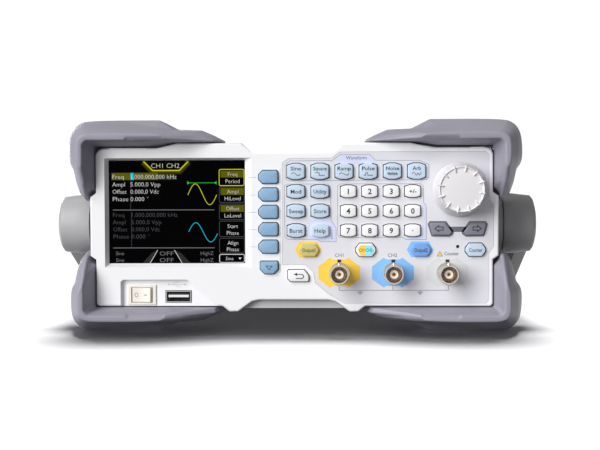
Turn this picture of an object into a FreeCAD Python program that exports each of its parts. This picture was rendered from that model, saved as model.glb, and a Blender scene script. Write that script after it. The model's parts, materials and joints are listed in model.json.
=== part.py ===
import FreeCAD, Part
import Sketcher
import os

# Bench function generator, modelled at real size in millimetres.
# X runs right as seen from the front, the front faces -Y, Z is up, z = 0 is the surface it stands on.

V = FreeCAD.Vector
doc = FreeCAD.newDocument("FunctionGenerator")

NUMBERS = [
    # front bezel
    ("panel_y", -145.0, "front face of the bezel"),
    ("plate_back", -142.0, "back of the bezel's face plate"),
    ("bezel_back", -117.0, "rear edge of the bezel's side walls"),
    ("wall", 2.2, "bezel side wall thickness"),
    ("bezel_hw", 102.4, "bezel half width"),
    ("ear_hw", 105.3, "half width at the side ears"),
    ("ear_low", 41.0, "lower end of the ears"),
    ("ear_high", 71.6, "upper end of the ears"),
    ("side_top", 96.4, "top of the bezel near its corners"),
    ("mid_top", 99.1, "raised top of the bezel"),
    ("mid_top_hw", 60.0, "half width of the raised top"),
    ("slope_top_hw", 71.0, "half width where the raised top has run out"),
    ("leg_low", 14.9, "bottom of the bezel near its corners"),
    ("belly_low", 12.1, "lowest point of the bezel"),
    ("belly_a", 36.8, "outer end of the belly"),
    ("belly_b", 33.3, "outer end of the belly's flat"),
    ("belly_c", 28.8, "inner end of the belly's flat"),
    ("belly_d", 21.5, "outer end of the centre cut-out"),
    ("belly_e", 18.0, "half width of the centre cut-out"),
    ("mid_low", 18.1, "top of the centre cut-out"),
    ("brow_hw", 20.5, "half width of the sloped recess in the raised top, at its foot"),
    ("corner_top", 4.0, "upper corner radius"),
    ("corner_low", 2.0, "lower corner radius"),
    ("face_round", 1.0, "rounding of the bezel's front edge"),
    # display
    ("lcd_left", -96.0, "display opening"),
    ("lcd_right", -25.1, "display opening"),
    ("lcd_low", 37.0, "display opening"),
    ("lcd_high", 90.5, "display opening"),
    ("slope_left", 1.7, "width of the sloped wall, left"),
    ("slope_right", 3.6, "width of the sloped wall, right"),
    ("slope_high", 1.1, "width of the sloped wall, top"),
    ("slope_low", 1.9, "width of the sloped wall, bottom"),
    ("window_t", 1.0, "display window thickness"),
    ("window_m", 2.4, "window margin behind the bezel"),
    ("lcd_back", -134.0, "rear of the display module"),
    # corner recess with mains switch and host port
    ("nook_left", -89.8, "recess"),
    ("nook_high", 28.7, "recess"),
    ("nook_bend", -55.2, "end of the recess's top edge"),
    ("nook_tip", -34.2, "end of the recess's slanted edge"),
    ("nook_tip_z", 11.5, "end of the recess's slanted edge"),
    ("nook_floor", -142.6, "floor of the recess"),
    ("nook_back", -139.4, "rear of the thickened wall behind the recess"),
    # overlay
    ("overlay_front", -144.95, "front of the keypad overlay"),
    ("overlay_back", -144.45, "back of the keypad overlay"),
    ("overlay_floor", -144.4, "floor of the overlay's recess"),
    ("overlay_gap", 0.15, "gap round the overlay"),
    # keys
    ("key_front", -147.0, "front of a key"),
    ("key_seat", -141.8, "front of a key's flange"),
    ("key_flange_back", -140.9, "rear of a key's flange"),
    ("key_stem_end", -138.1, "rear end of a key's stem"),
    ("key_gap", 0.3, "gap round a key"),
    ("key_lip", 0.75, "flange beyond the cap"),
    ("key_round", 0.35, "bevel of a key's front edge"),
    ("stem_r", 1.5, "key stem radius"),
    ("wave_x", 1.4, "first waveform key"),
    ("wave_pitch", 12.37, "waveform key pitch"),
    ("wave_z", 84.4, "waveform key row"),
    ("wide_hw", 4.63, "half width of waveform and function keys"),
    ("wave_hc", 3.08, "corner half height, waveform keys"),
    ("wave_hp", 4.2, "peak half height, waveform keys"),
    ("flat_hw", 1.6, "half width of the peak's flat"),
    ("func_hc", 2.55, "corner half height, function keys"),
    ("func_hp", 3.55, "peak half height, function keys"),
    ("row_a", 74.1, "first key row"),
    ("row_pitch", 10.05, "key row pitch"),
    ("num_x", 28.3, "first numeric column"),
    ("num_pitch", 10.98, "numeric column pitch"),
    ("num_hw", 4.05, "numeric key half width"),
    ("num_hc", 2.45, "corner half height, numeric keys"),
    ("num_hp", 3.25, "peak half height, numeric keys"),
    ("soft_z", 81.6, "first soft key"),
    ("soft_pitch", 8.97, "soft key pitch"),
    ("soft_left", -17.9, "soft key"),
    ("soft_right", -7.8, "soft key"),
    ("soft_hh", 3.45, "soft key half height"),
    ("page_left", -17.2, "page key"),
    ("page_right", -7.8, "page key"),
    ("page_high", 38.3, "page key"),
    ("page_low", 31.6, "page key"),
    ("back_left", -3.0, "back key"),
    ("back_right", 8.0, "back key"),
    ("back_high", 33.9, "back key"),
    ("back_low", 27.6, "back key"),
    ("out_z", 44.0, "row of output keys"),
    ("out_hw", 5.15, "output key half width"),
    ("out_hc", 0.9, "output key side half height"),
    ("out_hp", 3.45, "output key half height"),
    ("out_flat", 3.3, "half width of the output key's top"),
    ("out_one", 7.9, "first output key"),
    ("out_sel", 37.2, "channel select key"),
    ("out_two", 65.3, "second output key"),
    ("out_cnt", 93.3, "counter key"),
    ("arrow_mid", 84.3, "centre between the arrow keys"),
    ("arrow_z", 54.65, "arrow key row"),
    # knob
    ("knob_x", 85.2, "knob axis"),
    ("knob_z", 75.0, "knob axis"),
    ("knob_front", -159.2, "front of the knob"),
    ("knob_back", -145.45, "rear of the knob's skirt"),
    ("knob_skirt_r", 13.9, "skirt radius"),
    ("knob_face_r", 10.9, "face radius"),
    ("knob_shaft_r", 3.0, "encoder shaft radius"),
    ("knob_shaft_end", -137.4, "rear end of the encoder shaft"),
    ("knob_shaft_gap", 0.05, "running clearance in the encoder"),
    ("knob_groove_r", 0.55, "grip groove radius"),
    ("knob_groove_at", 12.35, "grip groove circle radius"),
    # connectors
    ("bnc_x", 23.6, "first coaxial connector"),
    ("bnc_pitch", 27.65, "coaxial connector pitch"),
    ("bnc_z", 32.1, "coaxial connector row"),
    ("bnc_front", -159.0, "front of the barrel"),
    ("bnc_r", 4.6, "barrel radius behind the lugs"),
    ("bnc_nose_r", 4.8, "barrel radius ahead of the lugs"),
    ("bnc_bore_r", 4.05, "barrel bore radius"),
    ("bnc_flange_r", 6.0, "flange radius"),
    ("bnc_body_r", 4.7, "threaded body radius"),
    ("bnc_lug_r", 1.0, "bayonet lug radius"),
    ("bnc_lug_tip", 5.6, "bayonet lug tip distance from the axis"),
    ("bnc_core_r", 2.3, "insulator radius"),
    ("bnc_seat_r", 2.6, "insulator seat radius"),
    ("rear_bnc_x", -22.0, "first rear coaxial connector"),
    ("rear_bnc_pitch", 22.0, "rear coaxial connector pitch"),
    ("rear_bnc_z", 74.0, "rear coaxial connector row"),
    # mains switch
    ("switch_x", -78.9, "rocker axis"),
    ("switch_z", 20.6, "rocker centre"),
    ("rocker_y", -141.2, "rocker pivot"),
    ("switch_hw", 7.4, "frame half width"),
    ("switch_hh", 5.1, "frame half height"),
    ("switch_front", -143.3, "front of the frame"),
    ("rocker_hw", 5.6, "rocker opening half width"),
    ("rocker_hh", 3.95, "rocker opening half height"),
    ("rocker_gap", 0.2, "gap above and below the rocker"),
    ("rocker_pin_r", 1.0, "rocker pivot radius"),
    # housing
    ("body_hw", 102.0, "housing half width"),
    ("body_low", 14.8, "housing bottom"),
    ("body_high", 95.9, "housing top"),
    ("body_front", -116.8, "housing front"),
    ("body_rear", 143.0, "housing rear"),
    ("sheet", 1.2, "sheet thickness"),
    ("split_z", 20.0, "joint between the covers"),
    ("rear_front", 143.2, "front of the rear panel"),
    ("rear_back", 144.7, "back of the rear panel"),
    ("tongue_hw", 20.4, "front tongue half width"),
    ("tongue_low", 13.6, "front tongue bottom"),
    ("lip_hw", 25.9, "half width of the lip at the tongue's end"),
    ("tongue_front", -141.0, "front tongue end"),
    # handle
    ("hub_y", -100.0, "handle axis"),
    ("hub_z", 56.0, "handle axis"),
    ("hub_in", 112.0, "inner face of a hub"),
    ("hub_edge", 127.6, "outer edge of a hub"),
    ("hub_out", 130.75, "outermost point of a hub"),
    ("hub_r_in", 16.4, "hub radius, inner"),
    ("hub_r_out", 15.3, "hub radius, outer"),
    ("pin_r", 6.0, "pivot pin radius"),
    ("pin_gap", 0.05, "running clearance of the pivot"),
    ("pin_end", 119.4, "pivot pin end"),
    ("boss_r", 15.2, "pivot boss radius"),
    ("arm_in", 120.4, "inner face of an arm"),
    ("arm_out", 126.8, "outer face of an arm"),
    ("bar_y", 3.8, "crossbar centre"),
    ("bar_z", 6.5, "crossbar centre"),
    ("bar_hw", 10.0, "crossbar half width"),
    ("bar_hh", 4.4, "crossbar half thickness"),
    # bumpers
    ("mid_z", 56.0, "mid height"),
    ("bumper_front", -157.0, "front of the front bumpers"),
    ("rear_mirror", 1.1, "plane between front and rear bumpers"),
    # rear panel fittings
    ("fan_x", -58.0, "fan axis"),
    ("fan_z", 56.0, "fan axis"),
    ("fan_hw", 25.0, "fan frame half width"),
    ("fan_y", 131.0, "front of the fan"),
    ("fan_t", 12.0, "fan frame depth"),
    ("fan_ring", 23.4, "fan duct radius"),
    ("fan_blade", 22.4, "fan blade radius"),
    ("fan_hub", 9.0, "fan rotor hub radius"),
    ("inlet_x", 70.0, "mains inlet"),
    ("inlet_z", 50.0, "mains inlet"),
    ("lan_x", 30.0, "network port"),
    ("usbb_x", 4.0, "device port"),
    ("port_z", 36.0, "port row"),
    ("usb_x", -59.9, "host port"),
    ("usb_z", 19.75, "host port"),
    ("board_z", 24.0, "underside of the main board"),
]

sheet = doc.addObject("Spreadsheet::Sheet", "Params")
sheet.Label = "Params"


class Dim:
    """A length with its spreadsheet expression."""

    def __init__(self, value, text):
        self.v = float(value)
        self.e = text

    def __add__(self, o):
        o = dim(o)
        return Dim(self.v + o.v, "(%s + %s)" % (self.e, o.e))

    def __radd__(self, o):
        return dim(o) + self

    def __sub__(self, o):
        o = dim(o)
        return Dim(self.v - o.v, "(%s - %s)" % (self.e, o.e))

    def __rsub__(self, o):
        return dim(o) - self

    def __mul__(self, o):
        o = dim(o)
        return Dim(self.v * o.v, "(%s * %s)" % (self.e, o.e))

    def __rmul__(self, o):
        return dim(o) * self

    def __truediv__(self, o):
        o = dim(o)
        return Dim(self.v / o.v, "(%s / %s)" % (self.e, o.e))

    def __neg__(self):
        return Dim(-self.v, "(0 - %s)" % self.e)


def dim(x):
    if isinstance(x, Dim):
        return x
    x = round(float(x), 5)
    return Dim(x, "%g" % x if x >= 0 else "(0 - %g)" % -x)


class Names:
    pass


n = Names()
for row, (alias, value, note) in enumerate(NUMBERS, start=1):
    sheet.set("A%d" % row, alias)
    sheet.set("B%d" % row, "%g" % value)
    sheet.set("C%d" % row, note)
    sheet.setAlias("B%d" % row, alias)
    setattr(n, alias, Dim(value, "Params.%s" % alias))
doc.recompute()

PLANES = {"x": ("YZ_Plane", 1), "y": ("XZ_Plane", -1), "z": ("XY_Plane", 1)}
NODES = []


def body(label):
    b = doc.addObject("PartDesign::Body", label)
    b.Label = label
    NODES.append(b)
    return b


def piece(label):
    """A body that is only a source for a compound."""
    b = doc.addObject("PartDesign::Body", label)
    b.Label = label
    return b


def sketch(b, name, role, base, loops, circles=()):
    s = b.newObject("Sketcher::SketchObject", name)
    plane = [f for f in b.Origin.OriginFeatures if f.Role == role][0]
    s.AttachmentSupport = [(plane, "")]
    s.MapMode = "FlatFace"
    bx, by, bz = [dim(c) for c in base]
    s.AttachmentOffset = FreeCAD.Placement(V(bx.v, by.v, bz.v), FreeCAD.Rotation())
    for axis, c in (("x", bx), ("y", by), ("z", bz)):
        if c.e != "0":
            s.setExpression("AttachmentOffset.Base.%s" % axis, c.e)
    cons, names, g = [], [], 0
    for loop in loops:
        pts = [(dim(a), dim(c)) for a, c in loop]
        k = len(pts)
        s.addGeometry([Part.LineSegment(V(pts[i][0].v, pts[i][1].v, 0),
                                        V(pts[(i + 1) % k][0].v, pts[(i + 1) % k][1].v, 0)) for i in range(k)], False)
        for i in range(k):
            cons.append(Sketcher.Constraint("Coincident", g + i, 2, g + (i + 1) % k, 1))
            names.append(None)
            for kind, c, line in (("DistanceX", pts[i][0], -2), ("DistanceY", pts[i][1], -1)):
                if c.e == "0":
                    cons.append(Sketcher.Constraint("PointOnObject", g + i, 1, line))
                    names.append(None)
                else:
                    cons.append(Sketcher.Constraint(kind, -1, 1, g + i, 1, c.v))
                    names.append(("p%d%s" % (g + i, kind[-1]), c.e))
        g += k
    for cx, cy, r in circles:
        cx, cy, r = dim(cx), dim(cy), dim(r)
        s.addGeometry(Part.Circle(V(cx.v, cy.v, 0), V(0, 0, 1), r.v), False)
        for kind, c, line in (("DistanceX", cx, -2), ("DistanceY", cy, -1)):
            if c.e == "0":
                cons.append(Sketcher.Constraint("PointOnObject", g, 3, line))
                names.append(None)
            else:
                cons.append(Sketcher.Constraint(kind, -1, 1, g, 3, c.v))
                names.append(("c%d%s" % (g, kind[-1]), c.e))
        cons.append(Sketcher.Constraint("Radius", g, r.v))
        names.append(("c%dr" % g, r.e))
        g += 1
    s.addConstraint(cons)
    for i, item in enumerate(names):
        if item:
            s.renameConstraint(i, item[0])
            s.setExpression("Constraints." + item[0], item[1])
    return s


def volume(b):
    doc.recompute()
    return b.Shape.Volume if not b.Shape.isNull() else 0.0


def extrude(b, name, axis, lo, hi, loops=(), circles=(), cut=False):
    """Pad or pocket between the planes lo and hi across the given axis."""
    lo, hi = dim(lo), dim(hi)
    role, sign = PLANES[axis]
    start = (hi if cut else lo) if sign > 0 else (-(lo) if cut else -(hi))
    before = volume(b) if cut else 0.0
    s = sketch(b, name + "_sketch", role, (0, 0, start), loops, circles)
    f = b.newObject("PartDesign::Pocket" if cut else "PartDesign::Pad", name)
    f.Profile = s
    f.Length = (hi - lo).v
    f.setExpression("Length", (hi - lo).e)
    s.Visibility = False
    if cut:
        after = volume(b)
        if not after < before - 1e-4:
            raise RuntimeError("pocket %s removed nothing" % name)
    return f


def cut(b, name, axis, lo, hi, loops=(), circles=()):
    return extrude(b, name, axis, lo, hi, loops, circles, True)


def revolve(b, name, axis, cu, cv, pts, groove=False):
    """Turn a profile of (position, radius) about a line along the axis.
    axis y: cu = x, cv = z.  axis x: cu = y, cv = z."""
    if axis == "y":
        s = sketch(b, name + "_sketch", "YZ_Plane", (0, cv, cu), [pts])
    else:
        s = sketch(b, name + "_sketch", "XY_Plane", (0, cu, cv), [pts])
    f = b.newObject("PartDesign::Groove" if groove else "PartDesign::Revolution", name)
    f.Profile = s
    f.ReferenceAxis = (s, ["H_Axis"])
    f.Angle = 360.0
    s.Visibility = False
    return f


def loft(b, name, sections, subtract=False):
    """Ruled loft through (plane position, loop) sections across Y."""
    sks = [sketch(b, "%s_s%d" % (name, i), "XZ_Plane", (0, 0, -dim(y)), [loop]) for i, (y, loop) in enumerate(sections)]
    f = b.newObject("PartDesign::SubtractiveLoft" if subtract else "PartDesign::AdditiveLoft", name)
    f.Profile = sks[0]
    f.Sections = sks[1:]
    f.Ruled = True
    for s in sks:
        s.Visibility = False
    return f


def treat(b, name, kind, size, pick):
    """Fillet or chamfer the edges of the body's present tip that pick accepts."""
    doc.recompute()
    tip = b.Tip
    names = ["Edge%d" % (i + 1) for i, e in enumerate(tip.Shape.Edges) if pick(e)]
    if not names:
        raise RuntimeError("no edges for " + name)
    size = dim(size)
    f = b.newObject("PartDesign::" + kind, name)
    f.Base = (tip, names)
    prop = "Radius" if kind == "Fillet" else "Size"
    setattr(f, prop, size.v)
    f.setExpression(prop, size.e)
    return f


def at_y(y, tol=1e-3):
    return lambda e: all(abs(v.Point.y - y) < tol for v in e.Vertexes) and abs(e.BoundBox.YLength) < tol


def along(axis, places, tol=0.02):
    """Straight edges parallel to an axis passing through one of the given places."""
    i = "xyz".index(axis)
    others = [j for j in range(3) if j != i]

    def test(e):
        if len(e.Vertexes) != 2 or e.Curve.TypeId != "Part::GeomLine":
            return False
        a, c = e.Vertexes[0].Point, e.Vertexes[1].Point
        if any(abs(a[j] - c[j]) > 1e-4 for j in others):
            return False
        return any(all(abs(a[j] - p[k]) < tol for k, j in enumerate(others)) for p in places)
    return test


def rect(x0, x1, z0, z1):
    return [(x0, z0), (x1, z0), (x1, z1), (x0, z1)]


def mirrored(points):
    """Right half outline, top to bottom, closed by its mirror image."""
    return points + [(-dim(x), z) for x, z in reversed(points)]


def compound(label, links):
    c = doc.addObject("Part::Compound", label)
    c.Label = label
    c.Links = links
    NODES.append(c)
    return c


# ---------------------------------------------------------------- keys
def peaked(cx, cz, hw, hc, hp, flat, g):
    """Key with upright sides and a peaked top and bottom, grown by g."""
    g = dim(g)
    a, c, p, f = hw + g, hc + g, hp + g, flat + g * 0.4
    return [(cx - a, cz - c), (cx - f, cz - p), (cx + f, cz - p), (cx + a, cz - c),
            (cx + a, cz + c), (cx + f, cz + p), (cx - f, cz + p), (cx - a, cz + c)]


def wave_shape(i):
    return lambda g: peaked(n.wave_x + n.wave_pitch * i, n.wave_z, n.wide_hw, n.wave_hc, n.wave_hp, n.flat_hw, g)


def func_shape(i, r):
    return lambda g: peaked(n.wave_x + n.wave_pitch * i, n.row_a - n.row_pitch * r, n.wide_hw, n.func_hc, n.func_hp, n.flat_hw, g)


def num_shape(i, r):
    return lambda g: peaked(n.num_x + n.num_pitch * i, n.row_a - n.row_pitch * r, n.num_hw, n.num_hc, n.num_hp, n.flat_hw, g)


def out_shape(x):
    return lambda g: peaked(x, n.out_z, n.out_hw, n.out_hc, n.out_hp, n.out_flat, g)


def soft_shape(i):
    def shape(g):
        g = dim(g)
        cz = n.soft_z - n.soft_pitch * i
        return [(n.soft_left + 2.2 - g * 0.6, cz - n.soft_hh - g), (n.soft_right - 0.8 + g * 0.6, cz - n.soft_hh - g),
                (n.soft_right + g, cz - n.soft_hh + 0.8 - g * 0.6), (n.soft_right + g, cz + n.soft_hh - 0.8 + g * 0.6),
                (n.soft_right - 0.8 + g * 0.6, cz + n.soft_hh + g), (n.soft_left + 2.2 - g * 0.6, cz + n.soft_hh + g),
                (n.soft_left - g, cz + 1.3), (n.soft_left - g, cz - 1.3)]
    return shape


def page_shape(g):
    g = dim(g)
    return [(n.page_left + 2.4 - g * 0.4, n.page_low - g), (n.page_right - 2.4 + g * 0.4, n.page_low - g),
            (n.page_right + g, n.page_low + 2.4 - g * 0.4), (n.page_right + g, n.page_high - 0.6 + g * 0.6),
            (n.page_right - 0.6 + g * 0.6, n.page_high + g), (n.page_left + 0.6 - g * 0.6, n.page_high + g),
            (n.page_left - g, n.page_high - 0.6 + g * 0.6), (n.page_left - g, n.page_low + 2.4 - g * 0.4)]


def back_shape(g):
    g = dim(g)
    return [(n.back_left + 1.6 - g * 0.6, n.back_low - g), (n.back_right - 0.6 + g * 0.6, n.back_low - g),
            (n.back_right + g, n.back_low + 0.6 - g * 0.6), (n.back_right + g, n.back_high - 2.9 + g * 0.4),
            (n.back_right - 2.4 + g * 0.4, n.back_high + g), (n.back_left + 0.6 - g * 0.6, n.back_high + g),
            (n.back_left - g, n.back_high - 0.6 + g * 0.6), (n.back_left - g, n.back_low + 1.6 - g * 0.6)]


def arrow_shape(side):
    pts = [(13.1, -3.1), (4.3, -3.2), (3.0, -2.1), (3.1, -1.0), (6.5, 3.3), (13.9, 3.3), (14.6, 2.4)]
    mid = (9.0, 0.0)

    def shape(g):
        g = dim(g)
        out = []
        for x, z in pts:
            dx, dz = x - mid[0], z - mid[1]
            out.append((n.arrow_mid + (dim(x) + g * (1 if dx > 0 else -1)) * side, n.arrow_z + (dim(z) + g * (1 if dz > 0 else -1))))
        return out if side < 0 else list(reversed(out))
    return shape


KEYS = []
for i, label in enumerate(("key_sine", "key_square", "key_ramp", "key_pulse", "key_noise", "key_arb")):
    KEYS.append((label, wave_shape(i), (n.wave_x + n.wave_pitch * i, n.wave_z), "wave"))
for r, pair in enumerate((("key_mod", "key_utility"), ("key_sweep", "key_store"), ("key_burst", "key_help"))):
    for i, label in enumerate(pair):
        KEYS.append((label, func_shape(i, r), (n.wave_x + n.wave_pitch * i, n.row_a - n.row_pitch * r), "func"))
for r, names in enumerate((("key_num_1", "key_num_2", "key_num_3", "key_sign"),
                           ("key_num_4", "key_num_5", "key_num_6", "key_num_0"),
                           ("key_num_7", "key_num_8", "key_num_9", "key_point"))):
    for i, label in enumerate(names):
        KEYS.append((label, num_shape(i, r), (n.num_x + n.num_pitch * i, n.row_a - n.row_pitch * r), "num%d" % r))
for label, x in (("key_output_1", n.out_one), ("key_channel_select", n.out_sel),
                 ("key_output_2", n.out_two), ("key_counter", n.out_cnt)):
    KEYS.append((label, out_shape(x), (x, n.out_z), "out"))
KEYS.append(("key_left", arrow_shape(-1), (n.arrow_mid - 8.5, n.arrow_z), "arrow"))
KEYS.append(("key_right", arrow_shape(1), (n.arrow_mid + 8.5, n.arrow_z), "arrow"))
for i in range(5):
    KEYS.append(("soft_key_%d" % (i + 1), soft_shape(i), ((n.soft_left + n.soft_right) / 2, n.soft_z - n.soft_pitch * i), "soft"))
KEYS.append(("key_page", page_shape, ((n.page_left + n.page_right) / 2, (n.page_low + n.page_high) / 2), "soft"))
KEYS.append(("key_back", back_shape, ((n.back_left + n.back_right) / 2, (n.back_low + n.back_high) / 2), "back"))

for label, shape, centre, group in KEYS:
    b = body(label)
    extrude(b, label + "_cap", "y", n.key_front, n.key_seat + 0.1, [shape(0)])
    treat(b, label + "_bevel", "Fillet", n.key_round, at_y(n.key_front.v))
    extrude(b, label + "_flange", "y", n.key_seat, n.key_flange_back, [shape(n.key_lip)])
    extrude(b, label + "_stem", "y", n.key_flange_back - 0.1, n.key_stem_end, (), [(centre[0], centre[1], n.stem_r)])

GROUPS = []
for _, _, _, group in KEYS:
    if group not in GROUPS:
        GROUPS.append(group)

# ---------------------------------------------------------------- front bezel
b = body("front_bezel")
right = [(n.mid_top_hw, n.mid_top), (n.slope_top_hw, n.side_top), (n.bezel_hw, n.side_top), (n.bezel_hw, n.ear_high + 2.0),
         (n.ear_hw, n.ear_high), (n.ear_hw, n.ear_low), (n.bezel_hw, n.ear_low - 2.0), (n.bezel_hw, n.leg_low),
         (n.belly_a, n.leg_low), (n.belly_b, n.belly_low), (n.belly_c, n.belly_low), (n.belly_d, n.mid_low - 0.8),
         (n.belly_e, n.mid_low)]
extrude(b, "bezel_block", "y", n.panel_y, n.bezel_back, [mirrored(right)])
treat(b, "bezel_corner_top", "Fillet", n.corner_top, along("y", [(s * n.bezel_hw.v, n.side_top.v) for s in (1, -1)]))
treat(b, "bezel_corner_low", "Fillet", n.corner_low, along("y", [(s * n.bezel_hw.v, n.leg_low.v) for s in (1, -1)]))
treat(b, "bezel_front_round", "Fillet", n.face_round, at_y(n.panel_y.v))
w = n.wall
inner = [(n.mid_top_hw, n.mid_top - w), (n.slope_top_hw, n.side_top - w), (n.bezel_hw - w - 3.0, n.side_top - w),
         (n.bezel_hw - w, n.side_top - w - 3.0),
         (n.bezel_hw - w, n.leg_low + w + 2.0), (n.bezel_hw - w - 2.0, n.leg_low + w),
         (n.belly_a + 1.0, n.leg_low + w), (n.belly_b - 0.5, n.belly_low + w), (n.belly_c + 1.4, n.belly_low + w),
         (n.belly_d + 1.6, n.mid_low + w - 0.6), (n.belly_e + 0.8, n.mid_low + w)]
cut(b, "bezel_hollow", "y", n.plate_back, n.bezel_back, [mirrored(inner)])
extrude(b, "bezel_nook_wall", "y", n.plate_back - 0.2, n.nook_back,
        [[(n.nook_left - 3.0, n.leg_low + 0.6), (n.nook_tip + 2.0, n.leg_low + 0.6), (n.nook_bend + 6.0, n.nook_high + 2.0),
          (n.nook_left - 3.0, n.nook_high + 2.0)]])
loft(b, "bezel_display_slope",
     [(n.panel_y, rect(n.lcd_left - n.slope_left, n.lcd_right + n.slope_right, n.lcd_low - n.slope_low, n.lcd_high + n.slope_high)),
      (n.plate_back, rect(n.lcd_left, n.lcd_right, n.lcd_low, n.lcd_high))], True)
cut(b, "bezel_nook", "y", n.panel_y, n.nook_floor,
    [[(n.nook_left, n.leg_low - 5.0), (n.nook_left, n.nook_high - 1.2), (n.nook_left + 1.2, n.nook_high), (n.nook_bend, n.nook_high),
      (n.nook_tip, n.nook_tip_z), (n.nook_tip, n.leg_low - 5.0)]])
cut(b, "bezel_switch_hole", "y", n.nook_floor, n.nook_back + 12.0,
    [rect(n.switch_x - n.switch_hw + 0.5, n.switch_x + n.switch_hw - 0.5, n.switch_z - n.switch_hh + 0.2, n.switch_z + n.switch_hh - 0.2)])
cut(b, "bezel_usb_hole", "y", n.nook_floor, n.nook_back + 12.0,
    [rect(n.usb_x - 6.9, n.usb_x + 6.9, n.usb_z - 3.25, n.usb_z + 3.25)])
OVERLAY = [(-5.60, 88.65), (-2.01, 91.0), (20.08, 91.2), (24.19, 94.3), (98.4, 94.3), (100.2, 92.6), (100.2, 69.6), (102.6, 66.6),
           (102.6, 46.0), (100.2, 42.4), (100.2, 18.2), (98.6, 16.5), (26.25, 16.5), (19.6, 20.3), (11.35, 27.0), (10.3, 32.6),
           (6.2, 36.5), (-5.60, 36.5)]
extent = [(min(p[0] for p in OVERLAY) + max(p[0] for p in OVERLAY)) / 2, (min(p[1] for p in OVERLAY) + max(p[1] for p in OVERLAY)) / 2]


def overlay_loop(g):
    """Overlay outline, grown by g away from its middle."""
    g = dim(g)
    return [(dim(x) + g * (1 if x > extent[0] else -1), dim(z) + g * (1 if z > extent[1] else -1)) for x, z in OVERLAY]


cut(b, "bezel_overlay_recess", "y", n.panel_y, n.overlay_floor, [overlay_loop(n.overlay_gap)])
for group in GROUPS:
    cut(b, "bezel_keys_" + group, "y", n.panel_y, n.plate_back, [shape(n.key_gap) for _, shape, _, gr in KEYS if gr == group])
bnc_centres = [(n.bnc_x + n.bnc_pitch * i, n.bnc_z) for i in range(3)]
cut(b, "bezel_round_holes", "y", n.overlay_floor, n.plate_back, (),
    [(n.knob_x, n.knob_z, n.knob_shaft_r + 1.5)] + [(x, z, n.bnc_body_r + 0.4) for x, z in bnc_centres] + [(84.4, 45.6, 0.9)])
loft(b, "bezel_brow",
     [(n.panel_y - 0.3, [(-n.brow_hw + 0.8, n.mid_top - 6.3), (n.brow_hw - 0.8, n.mid_top - 6.3), (n.brow_hw + 8.7, n.mid_top + 1.0), (-n.brow_hw - 8.7, n.mid_top + 1.0)]),
      (n.panel_y + 2.2, [(-n.brow_hw - 6.3, n.mid_top + 0.3), (n.brow_hw + 6.3, n.mid_top + 0.3), (n.brow_hw + 7.0, n.mid_top + 1.0), (-n.brow_hw - 7.0, n.mid_top + 1.0)])], True)
cut(b, "bezel_soft_groove", "y", n.panel_y, n.panel_y + 0.3,
    [[(-6.75, 86.0), (-6.75, 33.0), (-9.0, 30.3), (-15.0, 30.3), (-15.0, 29.9), (-8.85, 29.9), (-6.35, 32.85), (-6.35, 86.0)]])

# ---------------------------------------------------------------- keypad overlay
b = body("keypad_overlay")
extrude(b, "overlay_sheet", "y", n.overlay_front, n.overlay_back, [overlay_loop(0)])
for group in GROUPS:
    if group in ("soft",):
        continue
    loops = [shape(n.key_gap) for _, shape, c, gr in KEYS if gr == group and gr != "back"]
    if loops:
        cut(b, "overlay_keys_" + group, "y", n.overlay_front, n.overlay_back, loops)
cut(b, "overlay_round_holes", "y", n.overlay_front, n.overlay_back, (),
    [(n.knob_x, n.knob_z, n.knob_shaft_r + 1.5)] + [(x, z, n.bnc_body_r + 0.4) for x, z in bnc_centres] + [(84.4, 45.6, 0.9)])

# ---------------------------------------------------------------- display
b = body("display_window")
extrude(b, "window_sheet", "y", n.plate_back + 0.1, n.plate_back + 0.1 + n.window_t,
        [rect(n.lcd_left - n.window_m, n.lcd_right + n.window_m, n.lcd_low - n.window_m, n.lcd_high + n.window_m)])
b = body("lcd_module")
extrude(b, "lcd_case", "y", n.plate_back + 1.2, n.lcd_back,
        [rect(n.lcd_left - n.window_m, n.lcd_right + n.window_m, n.lcd_low - n.window_m, n.lcd_high + n.window_m)])
cut(b, "lcd_face", "y", n.plate_back + 1.2, n.plate_back + 1.6,
    [rect(n.lcd_left - 0.6, n.lcd_right + 0.6, n.lcd_low - 0.6, n.lcd_high + 0.6)])

# ---------------------------------------------------------------- knob
b = body("tuning_knob")
kf, kb = n.knob_front, n.knob_back
revolve(b, "knob_turned", "y", n.knob_x, n.knob_z,
        [(n.knob_shaft_end, 0), (n.knob_shaft_end, n.knob_shaft_r), (kb, n.knob_shaft_r), (kb, n.knob_skirt_r), (kb - 1.6, n.knob_skirt_r),
         (kb - 2.4, n.knob_skirt_r - 0.6), (kb - 9.5, n.knob_face_r + 1.3), (kf + 1.7, n.knob_face_r + 0.5), (kf + 0.5, n.knob_face_r - 0.4),
         (kf, n.knob_face_r - 1.8), (kf, 0)])
cut(b, "knob_groove", "y", kf, kb - 4.0, (), [(n.knob_x + n.knob_groove_at, n.knob_z, n.knob_groove_r)])
pat = b.newObject("PartDesign::PolarPattern", "knob_grooves")
pat.Originals = [doc.getObject("knob_groove")]
ref = b.newObject("Sketcher::SketchObject", "knob_centre")
pl = [f for f in b.Origin.OriginFeatures if f.Role == "XZ_Plane"][0]
ref.AttachmentSupport = [(pl, "")]
ref.MapMode = "FlatFace"
ref.AttachmentOffset = FreeCAD.Placement(V(n.knob_x.v, n.knob_z.v, 0), FreeCAD.Rotation())
ref.setExpression("AttachmentOffset.Base.x", n.knob_x.e)
ref.setExpression("AttachmentOffset.Base.y", n.knob_z.e)
pat.Axis = (ref, ["N_Axis"])
pat.Angle = 360
pat.Occurrences = 12
b.Tip = pat

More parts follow.
